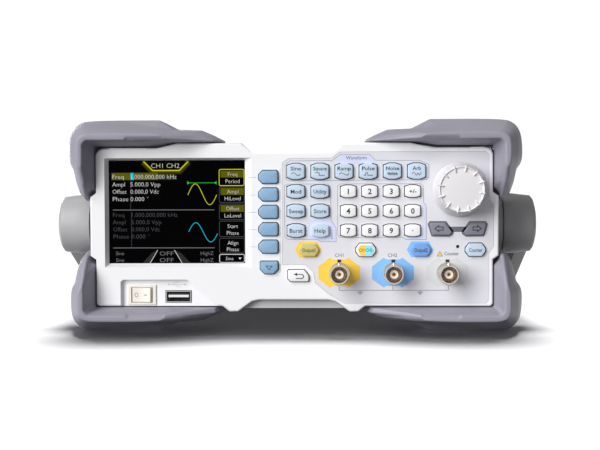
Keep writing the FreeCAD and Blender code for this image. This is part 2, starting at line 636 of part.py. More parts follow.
# ---------------------------------------------------------------- mains switch
b = body("power_switch_frame")
sx, sz = n.switch_x, n.switch_z
extrude(b, "switch_flange", "y", n.switch_front, n.nook_floor - 0.02, [rect(sx - n.switch_hw, sx + n.switch_hw, sz - n.switch_hh, sz + n.switch_hh)])
treat(b, "switch_flange_round", "Fillet", 0.3, at_y(n.switch_front.v))
extrude(b, "switch_case", "y", n.nook_floor - 0.1, n.nook_floor + 14.0,
        [rect(sx - n.switch_hw + 0.7, sx + n.switch_hw - 0.7, sz - n.switch_hh + 0.4, sz + n.switch_hh - 0.4)])
cut(b, "switch_opening", "y", n.switch_front, n.switch_front + 9.0, [rect(sx - n.rocker_hw, sx + n.rocker_hw, sz - n.rocker_hh, sz + n.rocker_hh)])
cut(b, "switch_bores", "z", sz - 4.4, sz + 4.4, (), [(sx, n.rocker_y, n.rocker_pin_r + 0.05)])
b = body("power_rocker")
ry = n.rocker_y
extrude(b, "rocker_plate", "z", sz - n.rocker_hh + n.rocker_gap, sz + n.rocker_hh - n.rocker_gap,
        [[(sx - 5.05, ry - 2.0), (sx, ry - 2.0), (sx + 4.45, ry - 3.11), (sx + 5.3, ry - 1.1), (sx + 4.4, ry + 1.2), (sx + 2.4, ry + 2.6),
          (sx - 2.4, ry + 2.6), (sx - 4.4, ry + 1.2)]])
extrude(b, "rocker_pins", "z", sz - 4.3, sz + 4.3, (), [(sx, ry, n.rocker_pin_r)])

# ---------------------------------------------------------------- coaxial connectors


def bnc_profile(y, out):
    """Barrel profile; y is the mounting plane, out is -1 towards the front and 1 towards the rear."""
    f = y + out * 14.0
    return [(f, n.bnc_bore_r), (f, n.bnc_nose_r), (y + out * 11.0, n.bnc_nose_r), (y + out * 11.0, n.bnc_r), (y + out * 1.2, n.bnc_r), (y + out * 1.2, n.bnc_flange_r), (y + out * 0.05, n.bnc_flange_r),
            (y + out * 0.05, n.bnc_body_r), (y - out * 14.0, n.bnc_body_r), (y - out * 14.0, n.bnc_seat_r), (y + out * 4.5, n.bnc_seat_r),
            (y + out * 4.5, n.bnc_bore_r)]


def core_profile(y, out):
    return [(y + out * 11.0, 1.0), (y + out * 11.0, n.bnc_core_r), (y - out * 13.6, n.bnc_core_r), (y - out * 13.6, 0),
            (y + out * 9.6, 0), (y + out * 9.6, 0.65), (y + out * 6.0, 0.65), (y + out * 6.0, 1.0)]


rear_centres = [(n.rear_bnc_x + n.rear_bnc_pitch * i, n.rear_bnc_z) for i in range(3)]
shells, cores = [], []
for side, y, out, centres in (("front", n.panel_y + 0.0, -1, bnc_centres), ("rear", n.rear_back, 1, rear_centres)):
    for i, (x, z) in enumerate(centres):
        s = piece("bnc_shell_%s_%d" % (side, i + 1))
        revolve(s, s.Label + "_barrel", "y", x, z, bnc_profile(y, out))
        for k, up in enumerate((1, -1)):
            lo, hi = (z + 4.4, z + n.bnc_lug_tip) if up > 0 else (z - n.bnc_lug_tip, z - 4.4)
            extrude(s, "%s_lug%d" % (s.Label, k), "z", lo, hi, (), [(x, y + out * 9.6, n.bnc_lug_r)])
        shells.append(s)
        c = piece("bnc_core_%s_%d" % (side, i + 1))
        revolve(c, c.Label + "_turned", "y", x, z, core_profile(y, out))
        cores.append(c)


compound("bnc_shells", shells)
compound("bnc_inserts", cores)

# ---------------------------------------------------------------- ports
ports = []
p = piece("port_host")
ux, uz = n.usb_x, n.usb_z
extrude(p, "port_host_shell", "y", n.nook_floor - 0.4, n.nook_floor + 13.0, [rect(ux - 6.55, ux + 6.55, uz - 2.95, uz + 2.95)])
cut(p, "port_host_mouth", "y", n.nook_floor - 0.4, n.nook_floor + 10.0, [rect(ux - 6.1, ux + 6.1, uz - 2.5, uz + 2.5)])
extrude(p, "port_host_tongue", "y", n.nook_floor + 0.4, n.nook_floor + 10.5, [rect(ux - 5.3, ux + 5.3, uz - 0.4, uz + 1.4)])
ports.append(p)
p = piece("port_device")
px, pz = n.usbb_x, n.port_z
extrude(p, "port_device_shell", "y", n.rear_back - 12.0, n.rear_back + 0.6, [rect(px - 6.0, px + 6.0, pz - 5.4, pz + 5.4)])
cut(p, "port_device_mouth", "y", n.rear_back - 8.5, n.rear_back + 0.6,
    [[(px - 4.2, pz - 3.8), (px + 4.2, pz - 3.8), (px + 4.2, pz + 2.4), (px + 2.8, pz + 3.8), (px - 2.8, pz + 3.8), (px - 4.2, pz + 2.4)]])
extrude(p, "port_device_tongue", "y", n.rear_back - 9.0, n.rear_back - 0.6, [rect(px - 2.8, px + 2.8, pz - 1.6, pz + 1.6)])
ports.append(p)
p = piece("port_network")
px = n.lan_x
extrude(p, "port_network_shell", "y", n.rear_back - 16.0, n.rear_back + 0.6, [rect(px - 8.0, px + 8.0, pz - 6.8, pz + 6.8)])
cut(p, "port_network_mouth", "y", n.rear_back - 12.5, n.rear_back + 0.6,
    [[(px - 5.9, pz - 4.0), (px + 5.9, pz - 4.0), (px + 5.9, pz + 3.0), (px + 3.4, pz + 3.0), (px + 3.4, pz + 5.2),
      (px - 3.4, pz + 5.2), (px - 3.4, pz + 3.0), (px - 5.9, pz + 3.0)]])
ports.append(p)
compound("data_ports", ports)

# ---------------------------------------------------------------- boards
front_board = piece("front_board")
by0, by1 = dim(-136.8), dim(-135.2)
extrude(front_board, "front_board_sheet", "y", by0, by1,
        [[(-19.5, 94.0), (-19.5, 25.0), (11.0, 25.0), (11.0, 39.8), (99.0, 39.8), (99.0, 91.6), (96.6, 94.0)]])
ex, ez = n.knob_x, n.knob_z
extrude(front_board, "encoder_case", "y", dim(-141.6), by0 + 0.1, [rect(ex - 6.2, ex + 6.2, ez - 6.2, ez + 6.2)])
cut(front_board, "encoder_bore", "y", dim(-141.6), by0 - 0.2, (), [(ex, ez, n.knob_shaft_r + n.knob_shaft_gap)])
extrude(front_board, "front_board_chips", "y", by1 - 0.1, by1 + 2.0, [rect(20, 34, 60, 74), rect(45, 57, 50, 62), rect(66, 82, 66, 76)])
main_board = piece("main_board")
bz = n.board_z
extrude(main_board, "main_board_sheet", "z", bz, bz + 1.6, [[(-94.0, -126.0), (94.0, -126.0), (94.0, 15.0), (34.0, 15.0), (34.0, 122.0), (-94.0, 122.0)]])
extrude(main_board, "main_board_chips", "z", bz + 1.5, bz + 4.0,
        [rect(-40, -18, -60, -38), rect(0, 14, -70, -56), rect(20, 34, -100, -86), rect(50, 64, -100, -86), rect(-60, -46, 10, 24)])
extrude(main_board, "main_board_tall", "z", bz + 1.5, bz + 16.0, [rect(-80, -64, -20, 20), rect(-30, -20, 60, 90), rect(30, 60, -40, -28)])
compound("circuit_boards", [front_board, main_board])

# ---------------------------------------------------------------- housing
hw, lo, hi, t = n.body_hw, n.body_low, n.body_high, n.sheet
b = body("top_cover")
extrude(b, "top_cover_sheet", "y", n.body_front, n.body_rear,
        [[(hw, n.split_z), (hw, hi), (-hw, hi), (-hw, n.split_z), (-hw + t, n.split_z), (-hw + t, hi - t), (hw - t, hi - t), (hw - t, n.split_z)]])
treat(b, "top_cover_bend", "Fillet", 3.0, along("y", [(s * hw.v, hi.v) for s in (1, -1)]))
treat(b, "top_cover_bend_in", "Fillet", 1.8, along("y", [(s * (hw.v - t.v), hi.v - t.v) for s in (1, -1)]))
vent = cut(b, "side_vent", "x", -hw - 1.0, hw + 1.0, [rect(-40.0, -37.6, 40.0, 70.0)])
row = b.newObject("PartDesign::LinearPattern", "side_vents")
row.Originals = [vent]
row.Direction = (vent.Profile[0], ["H_Axis"])
row.Length = 121.0
row.Occurrences = 23
b.Tip = row
b = body("bottom_cover")
extrude(b, "bottom_cover_sheet", "y", n.body_front, n.body_rear,
        [[(-hw, lo), (hw, lo), (hw, n.split_z - 0.3), (hw - 1.6, n.split_z - 0.3), (hw - 1.6, n.split_z + 12.0), (hw - 1.6 - t, n.split_z + 12.0),
          (hw - 1.6 - t, lo + t), (-hw + 1.6 + t, lo + t), (-hw + 1.6 + t, n.split_z + 12.0), (-hw + 1.6, n.split_z + 12.0),
          (-hw + 1.6, n.split_z - 0.3), (-hw, n.split_z - 0.3)]])
extrude(b, "bottom_cover_front", "y", n.body_front, n.body_front + t, [rect(-hw + 1.7, hw - 1.7, lo + 0.1, bz - 0.5)])
extrude(b, "bottom_cover_tongue", "z", n.tongue_low, n.tongue_low + t + 0.1, [rect(-n.tongue_hw, n.tongue_hw, n.tongue_front, n.body_front + 8.0)])
extrude(b, "bottom_cover_lip", "y", n.tongue_front, n.tongue_front + t,
        [mirrored([(n.belly_e - 0.4, n.mid_low - 0.25), (n.belly_d - 0.4, n.mid_low - 1.05), (n.lip_hw, n.tongue_low + 0.2), (n.lip_hw - 0.3, n.tongue_low)])])
for i, (bx, by) in enumerate(((-80, -100), (80, -100), (-80, 100), (20, 100))):
    extrude(b, "standoff_%d" % i, "z", lo + t - 0.1, bz - 0.05, (), [(bx, by, 3.0)])

# ---------------------------------------------------------------- rear panel and what it carries
b = body("rear_panel")
extrude(b, "rear_sheet", "y", n.rear_front, n.rear_back, [rect(-hw + 0.2, hw - 0.2, lo + 0.2, hi - 0.2)])
ix, iz = n.inlet_x, n.inlet_z
cut(b, "rear_square_holes", "y", n.rear_front, n.rear_back,
    [rect(ix - 14.2, ix + 14.2, iz - 10.7, iz + 10.7), rect(n.usbb_x - 6.3, n.usbb_x + 6.3, n.port_z - 5.7, n.port_z + 5.7),
     rect(n.lan_x - 8.3, n.lan_x + 8.3, n.port_z - 7.1, n.port_z + 7.1)])
cut(b, "rear_round_holes", "y", n.rear_front, n.rear_back, (), [(x, z, n.bnc_body_r + 0.3) for x, z in rear_centres])
fx, fz = n.fan_x, n.fan_z
grille = cut(b, "fan_slot", "y", n.rear_front, n.rear_back, [[(fx - 20.0, fz - 18.6), (fx + 20.0, fz - 18.6), (fx + 20.0, fz - 15.6), (fx - 20.0, fz - 15.6)]])
row = b.newObject("PartDesign::LinearPattern", "fan_slots")
row.Originals = [grille]
row.Direction = (grille.Profile[0], ["V_Axis"])
row.Length = 34.2
row.Occurrences = 7
b.Tip = row

b = body("mains_inlet")
rb = n.rear_back
extrude(b, "inlet_flange", "y", rb + 0.05, rb + 2.6, [rect(ix - 15.5, ix + 15.5, iz - 12.0, iz + 12.0)])
treat(b, "inlet_corners", "Fillet", 2.5, along("y", [(ix.v + a * 15.5, iz.v + c * 12.0) for a in (1, -1) for c in (1, -1)]))
extrude(b, "inlet_case", "y", rb - 20.0, rb + 0.2, [rect(ix - 13.8, ix + 13.8, iz - 10.3, iz + 10.3)])
cut(b, "inlet_cavity", "y", rb - 17.0, rb + 2.6,
    [[(ix - 12.1, iz - 8.3), (ix + 12.1, iz - 8.3), (ix + 12.1, iz + 3.4), (ix + 7.4, iz + 8.3), (ix - 7.4, iz + 8.3), (ix - 12.1, iz + 3.4)]])
extrude(b, "inlet_pins", "y", rb - 17.1, rb - 4.0, [rect(ix - 8.0, ix - 6.0, iz - 3.6, iz + 0.4), rect(ix + 6.0, ix + 8.0, iz - 3.6, iz + 0.4),
                                                   rect(ix - 1.0, ix + 1.0, iz + 0.6, iz + 4.6)])

b = body("fan_frame")
fy, ft, fh = n.fan_y, n.fan_t, n.fan_hw
extrude(b, "fan_case", "y", fy, fy + ft, [rect(fx - fh, fx + fh, fz - fh, fz + fh)])
treat(b, "fan_case_corners", "Fillet", 3.0, along("y", [(fx.v + a * fh.v, fz.v + c * fh.v) for a in (1, -1) for c in (1, -1)]))
cut(b, "fan_duct", "y", fy, fy + ft, (), [(fx, fz, n.fan_ring)])
extrude(b, "fan_spokes", "y", fy + ft - 1.6, fy + ft, [rect(fx - fh + 1.0, fx + fh - 1.0, fz - 1.2, fz + 1.2)])
extrude(b, "fan_spokes_up", "y", fy + ft - 1.6, fy + ft, [rect(fx - 1.2, fx + 1.2, fz - fh + 1.0, fz + fh - 1.0)])
extrude(b, "fan_motor_plate", "y", fy + ft - 1.6, fy + ft, (), [(fx, fz, 9.0)])
extrude(b, "fan_axle", "y", fy + 2.5, fy + ft - 1.5, (), [(fx, fz, 1.5)])
cut(b, "fan_screw_holes", "y", fy, fy + ft, (), [(fx + a * (fh - 4.2), fz + c * (fh - 4.2), 1.8) for a in (1, -1) for c in (1, -1)])

b = body("fan_rotor")
extrude(b, "rotor_hub", "y", fy + 0.6, fy + ft - 2.0, (), [(fx, fz, n.fan_hub)])
blade = loft(b, "rotor_blade", [
    (fy + 0.9, [(fx + 8.0, fz - 1.0), (fx + 15.0, fz - 0.8), (fx + 22.0, fz - 1.4), (fx + 22.0, fz - 0.3), (fx + 15.0, fz + 0.5), (fx + 8.0, fz + 0.5)]),
    (fy + ft - 2.2, [(fx + 7.4, fz + 3.0), (fx + 13.6, fz + 6.4), (fx + 19.4, fz + 10.1), (fx + 18.8, fz + 11.1), (fx + 13.0, fz + 7.4), (fx + 6.6, fz + 4.2)])])
pat = b.newObject("PartDesign::PolarPattern", "rotor_blades")
pat.Originals = [blade]
ref = b.newObject("Sketcher::SketchObject", "rotor_centre")
pl = [f for f in b.Origin.OriginFeatures if f.Role == "XZ_Plane"][0]
ref.AttachmentSupport = [(pl, "")]
ref.MapMode = "FlatFace"
ref.AttachmentOffset = FreeCAD.Placement(V(fx.v, fz.v, 0), FreeCAD.Rotation())
ref.setExpression("AttachmentOffset.Base.x", fx.e)
ref.setExpression("AttachmentOffset.Base.y", fz.e)
pat.Axis = (ref, ["N_Axis"])
pat.Angle = 360
pat.Occurrences = 7
b.Tip = pat
cut(b, "rotor_bore", "y", fy + 2.2, fy + ft - 2.0, (), [(fx, fz, 1.56)])

b = body("power_supply")
extrude(b, "supply_board", "z", 30.0, 31.6, [rect(36, 98, 20, 118)])
extrude(b, "supply_transformer", "z", 31.5, 56.0, [rect(52, 80, 60, 84)])
extrude(b, "supply_heatsinks", "z", 31.5, 58.0, [rect(40, 43, 30, 80), rect(88, 91, 40, 90)])
extrude(b, "supply_capacitors", "z", 31.5, 54.0, (), [(60, 40, 7.0), (76, 40, 7.0), (52, 102, 5.0), (66, 102, 5.0)])
extrude(b, "supply_legs", "z", lo + t + 0.1, 30.1, (), [(40, 24, 2.5), (94, 24, 2.5), (40, 114, 2.5), (94, 114, 2.5)])

# ---------------------------------------------------------------- screws
screws = []
for i, (x, z) in enumerate(((-96.0, 90.0), (96.0, 90.0), (-96.0, 22.0), (96.0, 22.0), (0.0, 90.0), (40.0, 62.0))):
    s = piece("screw_%d" % (i + 1))
    revolve(s, "screw_%d_turned" % (i + 1), "y", x, z, [(rb + 0.02, 0), (rb + 0.02, 2.9), (rb + 1.1, 2.9), (rb + 1.9, 1.9), (rb + 1.9, 0)])
    cut(s, "screw_%d_slot_a" % (i + 1), "y", rb + 1.1, rb + 1.9, [rect(x - 1.5, x + 1.5, z - 0.3, z + 0.3)])
    cut(s, "screw_%d_slot_b" % (i + 1), "y", rb + 1.1, rb + 1.9, [rect(x - 0.3, x + 0.3, z - 1.5, z + 1.5)])
    screws.append(s)
compound("case_screws", screws)

# ---------------------------------------------------------------- handle
hy, hz = n.hub_y, n.hub_z
pivots = []
for side, word in ((1, "right"), (-1, "left")):
    p = piece("pivot_" + word)
    pts = [(102.05, 0), (102.05, n.boss_r), (n.hub_in - 0.3, n.boss_r), (n.hub_in - 0.3, n.pin_r), (n.pin_end, n.pin_r), (n.pin_end, 0)]
    pts = [(dim(x) * side, r) for x, r in pts]
    revolve(p, "pivot_%s_turned" % word, "x", hy, hz, pts if side > 0 else list(reversed(pts)))
    pivots.append(p)
compound("handle_pivots", pivots)

b = body("handle_frame")
bar_y, bar_z, bw, bh = n.bar_y, n.bar_z, n.bar_hw, n.bar_hh
extrude(b, "handle_bar", "x", -n.arm_out, n.arm_out,
        [[(bar_y - bw, bar_z - bh + 2.0), (bar_y - bw + 2.0, bar_z - bh), (bar_y + bw - 2.0, bar_z - bh), (bar_y + bw, bar_z - bh + 2.0),
          (bar_y + bw, bar_z + bh - 2.0), (bar_y + bw - 2.0, bar_z + bh), (bar_y - bw + 2.0, bar_z + bh), (bar_y - bw, bar_z + bh - 2.0)]])
for side, word in ((1, "right"), (-1, "left")):
    a0, a1 = (n.arm_in, n.arm_out) if side > 0 else (-n.arm_out, -n.arm_in)
    extrude(b, "handle_arm_" + word, "x", a0, a1,
            [[(hy + 5.6, hz + 11.7), (bar_y + 3.0, bar_z + 10.0), (bar_y + bw, bar_z + bh - 0.6), (bar_y + bw, bar_z - bh + 2.0),
              (bar_y + bw - 2.0, bar_z - bh), (bar_y - bw + 2.0, bar_z - bh), (bar_y - bw - 6.0, bar_z - bh + 2.2), (hy - 5.6, hz - 11.7)]])
    pts = [(n.hub_in, n.pin_r + n.pin_gap), (n.hub_in, n.hub_r_in), (n.hub_in + 6.0, n.hub_r_in), (n.hub_edge, n.hub_r_out),
           (n.hub_edge + 1.3, n.hub_r_out - 1.6), (n.hub_edge + 2.4, n.hub_r_out - 5.3), (n.hub_out - 0.2, n.hub_r_out - 9.6), (n.hub_out, 0),
           (n.pin_end + 0.4, 0), (n.pin_end + 0.4, n.pin_r + n.pin_gap)]
    pts = [(dim(x) * side, r) for x, r in pts]
    revolve(b, "handle_hub_" + word, "x", hy, hz, pts if side > 0 else list(reversed(pts)))
corner = [(n.arm_out - 5.0, bar_y + bw + 0.5), (n.arm_out + 0.5, bar_y + bw + 0.5), (n.arm_out + 0.5, bar_y + bw - 5.0)]
cut(b, "handle_corner_right", "z", bar_z - bh - 1.0, bar_z + bh + 1.0, [corner])
cut(b, "handle_corner_left", "z", bar_z - bh - 1.0, bar_z + bh + 1.0, [[(-x, y) for x, y in reversed(corner)]])

# ---------------------------------------------------------------- bumpers
# each row: front-to-rear stations of one corner point, as (x, height above or below mid height)
STATIONS = [-157.0, -152.5, -145.0, -137.0, -126.0, -118.0, -111.0, -107.0]
OUTER = [
    [(66.0, 45.4), (56, 45.2), (40, 44.4), (37, 44.4), (36, 44.4), (37, 44.4), (42, 44.8), (46, 44.4)],
    [(66.6, 46.4), (58, 47.0), (46, 46.6), (43, 47.3), (42.5, 47.7), (43, 47.6), (48, 46.4), (52, 45.0)],
    [(67.4, 47.2), (62, 48.0), (54, 48.4), (50.5, 49.5), (49, 50.5), (49.5, 50.4), (54, 48.6), (58, 45.6)],
    [(69.0, 47.5), (66, 48.3), (64, 49.3), (62.5, 50.3), (61.5, 51.0), (62, 51.0), (64.5, 49.4), (67, 46.0)],
    [(84.0, 47.9), (80, 49.0), (75, 50.4), (72.5, 51.8), (71.5, 56.0), (71.5, 56.0), (74, 54.0), (77, 47.6)],
    [(103.5, 47.9), (104.5, 49.5), (106.5, 52.2), (108, 54.1), (110, 56.0), (110, 56.0), (108.5, 54.0), (105, 47.6)],
    [(107.5, 46.9), (109.2, 48.3), (112, 50.5), (114, 51.9), (115.8, 53.8), (115.8, 53.8), (113.6, 51.8), (108.6, 46.2)],
    [(109.4, 45.0), (111.4, 45.9), (114.6, 47.3), (116.8, 48.3), (118.9, 49.4), (118.9, 49.4), (116.4, 48.0), (110.4, 44.0)],
    [(110.0, 42.5), (112.0, 42.6), (115.4, 42.8), (117.6, 42.9), (120.0, 43.0), (120.0, 43.0), (117.2, 42.4), (111.0, 41.0)],
    [(110.0, 34.5), (112.0, 34.3), (115.4, 34.0), (117.6, 33.8), (120.0, 33.5), (120.0, 33.6), (117.2, 34.0), (111.0, 35.0)],
    [(109.6, 32.3), (111.0, 31.0), (113.6, 30.0), (115.5, 29.8), (117.0, 29.5), (117.0, 29.7), (115.0, 31.0), (110.6, 33.0)],
    [(109.1, 31.4), (109.9, 27.0), (112.0, 23.5), (114.0, 23.0), (115.4, 22.4), (115.4, 23.0), (113.6, 26.5), (110.0, 31.4)],
    [(108.4, 30.9), (109.0, 24.0), (110.4, 18.2), (112.0, 17.2), (113.3, 16.6), (113.3, 17.6), (111.6, 23.0), (109.0, 30.2)],
    [(107.8, 30.7), (107.7, 22.0), (107.7, 14.4), (108.7, 13.3), (109.9, 12.9), (110.4, 14.6), (109.4, 21.0), (107.4, 29.6)],
]
INNER = [
    [(107.4, 30.9), (106.5, 22.6), (106.2, 14.7), (106.1, 13.6), (106.2, 13.2), (106.6, 14.8), (106.2, 21.2), (105.0, 29.6)],
    [(107.2, 31.6), (106.1, 24.5), (105.9, 17.4), (105.9, 16.6), (105.9, 16.6), (105.9, 17.4), (104.8, 22.4), (103.8, 30.2)],
    [(107.0, 33.0), (105.6, 27.0), (103.0, 20.2), (102.8, 19.6), (102.8, 19.6), (102.8, 20.0), (102.8, 24.4), (102.8, 31.2)],
    [(107.0, 42.6), (105.6, 41.6), (103.0, 41.0), (102.8, 41.1), (102.8, 41.1), (102.8, 41.1), (102.8, 41.1), (102.8, 41.1)],
    [(105.0, 44.7), (104.6, 43.2), (102.5, 41.6), (102.5, 41.5), (102.5, 41.5), (102.5, 41.5), (102.5, 41.5), (102.5, 41.5)],
    [(84.0, 44.7), (79.0, 43.4), (74.0, 41.8), (73.6, 41.5), (73.6, 41.5), (73.6, 41.5), (75.0, 41.5), (77.6, 41.5)],
]
TIP_UP = [
    [(70.0, 44.7), (66.0, 44.1), (61.5, 43.6), (61.0, 43.5), (61.0, 43.5), (61.5, 43.5), (64.0, 43.5), (66.8, 43.5)],
    [(66.4, 44.9), (56.6, 44.4), (41.0, 43.7), (38.0, 43.6), (37.0, 43.6), (38.0, 43.6), (43.0, 43.6), (47.0, 43.6)],
]
TIP_LOW = [
    [(70.0, 44.7), (66.0, 43.2), (61.5, 41.7), (61.0, 41.5), (61.0, 41.5), (61.5, 41.5), (64.0, 41.5), (66.8, 41.5)],
    [(66.4, 44.7), (56.6, 43.2), (41.0, 41.9), (38.0, 41.7), (37.4, 41.7), (38.4, 41.7), (43.0, 41.7), (47.0, 41.7)],
]
quarter = []
for up, word, tips in ((1, "upper", TIP_UP), (-1, "lower", TIP_LOW)):
    p = piece("bumper_" + word)
    rows = OUTER + INNER + tips
    sections = []
    for i, y in enumerate(STATIONS):
        loop = [(row[i][0], n.mid_z + row[i][1] * up) for row in rows]
        sections.append((n.bumper_front + (y - STATIONS[0]), loop if up < 0 else list(reversed(loop))))
    loft(p, "bumper_%s_shell" % word, sections)
    quarter.append(p)
    m = doc.addObject("Part::Mirroring", "bumper_%s_left" % word)
    m.Source = p
    m.Normal = V(1, 0, 0)
    quarter.append(m)
front = compound("front_bumpers", quarter)
rear = doc.addObject("Part::Mirroring", "rear_bumpers")
rear.Label = "rear_bumpers"
rear.Source = front
rear.Normal = V(0, 1, 0)
rear.Base = V(0, n.rear_mirror.v, 0)
rear.setExpression("Base.y", n.rear_mirror.e)
NODES.append(rear)

# ---------------------------------------------------------------- checks and export
doc.recompute()
bad = [o.Name for o in doc.Objects if any(s in ("Invalid", "Error") for s in o.State)]
if bad:
    raise RuntimeError("objects in error: " + ", ".join(bad))
os.makedirs("parts", exist_ok=True)
wrong = [k.Label for k in NODES if k.Shape.isNull() or not k.Shape.isValid() or k.Shape.Volume <= 0]
if wrong:
    raise RuntimeError("bad shapes: " + ", ".join(wrong))
for node in NODES:
    node.Shape.exportStep("parts/%s.step" % node.Label)
box = FreeCAD.BoundBox()
for node in NODES:
    box.add(node.Shape.BoundBox)
print("nodes", len(NODES), "solids", sum(len(k.Shape.Solids) for k in NODES))
print("bounds", box)
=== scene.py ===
import bpy
import bmesh
import json
import math
from mathutils import Matrix, Vector


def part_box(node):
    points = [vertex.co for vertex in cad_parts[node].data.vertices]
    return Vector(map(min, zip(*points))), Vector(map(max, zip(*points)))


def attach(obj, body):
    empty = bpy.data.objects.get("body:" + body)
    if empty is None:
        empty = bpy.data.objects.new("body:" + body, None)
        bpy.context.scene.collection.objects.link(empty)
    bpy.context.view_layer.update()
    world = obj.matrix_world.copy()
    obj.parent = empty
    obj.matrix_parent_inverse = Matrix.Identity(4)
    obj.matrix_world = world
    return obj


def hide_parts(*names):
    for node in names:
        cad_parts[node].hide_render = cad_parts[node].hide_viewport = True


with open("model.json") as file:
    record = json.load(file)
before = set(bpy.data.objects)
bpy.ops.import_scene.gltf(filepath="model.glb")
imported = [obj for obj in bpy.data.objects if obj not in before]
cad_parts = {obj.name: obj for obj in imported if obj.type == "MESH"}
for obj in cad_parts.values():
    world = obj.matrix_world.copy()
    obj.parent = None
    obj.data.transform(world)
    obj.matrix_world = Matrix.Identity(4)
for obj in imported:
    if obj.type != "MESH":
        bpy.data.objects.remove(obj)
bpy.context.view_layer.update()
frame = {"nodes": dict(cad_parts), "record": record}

AMBIENT = 0.11
BODY_LIGHTS = [
    ("overhead", (0.08, -0.42, -1.0), 0.32, 30.0),
    ("left_front", (0.9, 1.0, -0.3), 2.2, 30.0),
    ("left_high", (0.7, 0.8, -0.9), 1.45, 30.0),
    ("fill", (0.0, 0.9, -0.6), 0.42, 110.0),
    ("rear_fill", (0.25, -1.0, -0.03), 1.3, 20.0),
]
TABLE_LIGHTS = [
    ("table_top", (0.0, -0.32, -1.0), 4.0, 22.0),
]
MM = 0.001
RECORD = frame["record"]
NODES = frame["nodes"]
SLOT_OF = {s["node"]: s["material_slot"] for s in RECORD["subparts"]}
scene = bpy.context.scene


# ------------------------------------------------------------------ materials
def material(name, color, rough=0.5, metal=0.0, spec=0.5, grain=0.0, grain_size=0.0004, mottling=0.0, coat=0.0, emit=None, strength=1.0):
    m = bpy.data.materials.new(name)
    m.use_nodes = True
    nt = m.node_tree
    b = nt.nodes["Principled BSDF"]
    b.inputs["Base Color"].default_value = (*color, 1.0)
    b.inputs["Roughness"].default_value = rough
    b.inputs["Metallic"].default_value = metal
    b.inputs["Specular IOR Level"].default_value = spec
    b.inputs["Coat Weight"].default_value = coat
    if emit:
        b.inputs["Emission Color"].default_value = (*emit, 1.0)
        b.inputs["Emission Strength"].default_value = strength
    if grain or mottling:
        tc = nt.nodes.new("ShaderNodeTexCoord")
    if grain:
        tex = nt.nodes.new("ShaderNodeTexNoise")
        tex.inputs["Scale"].default_value = 1.0 / grain_size
        tex.inputs["Detail"].default_value = 3.0
        nt.links.new(tc.outputs["Object"], tex.inputs["Vector"])
        bump = nt.nodes.new("ShaderNodeBump")
        bump.inputs["Strength"].default_value = grain
        bump.inputs["Distance"].default_value = grain_size * 0.25
        nt.links.new(tex.outputs["Fac"], bump.inputs["Height"])
        nt.links.new(bump.outputs["Normal"], b.inputs["Normal"])
    if mottling:
        tex = nt.nodes.new("ShaderNodeTexNoise")
        tex.inputs["Scale"].default_value = 38.0
        tex.inputs["Detail"].default_value = 4.0
        nt.links.new(tc.outputs["Object"], tex.inputs["Vector"])
        ramp = nt.nodes.new("ShaderNodeValToRGB")
        ramp.color_ramp.elements[0].position = 0.35
        ramp.color_ramp.elements[1].position = 0.65
        lo = tuple(max(0.0, c * (1.0 - mottling)) for c in color)
        hi = tuple(min(1.0, c * (1.0 + mottling)) for c in color)
        ramp.color_ramp.elements[0].color = (*lo, 1.0)
        ramp.color_ramp.elements[1].color = (*hi, 1.0)
        nt.links.new(tex.outputs["Fac"], ramp.inputs["Fac"])
        nt.links.new(ramp.outputs["Color"], b.inputs["Base Color"])
    return m


def glow(name, color, strength=1.0):
    return material(name, (0.0, 0.0, 0.0), rough=0.4, spec=0.0, emit=color, strength=strength)


def srgb(r, g, b):
    """8-bit display colour to linear."""
    out = []
    for c in (r, g, b):
        c = c / 255.0
        out.append(c / 12.92 if c <= 0.04045 else ((c + 0.055) / 1.055) ** 2.4)
    return tuple(out)


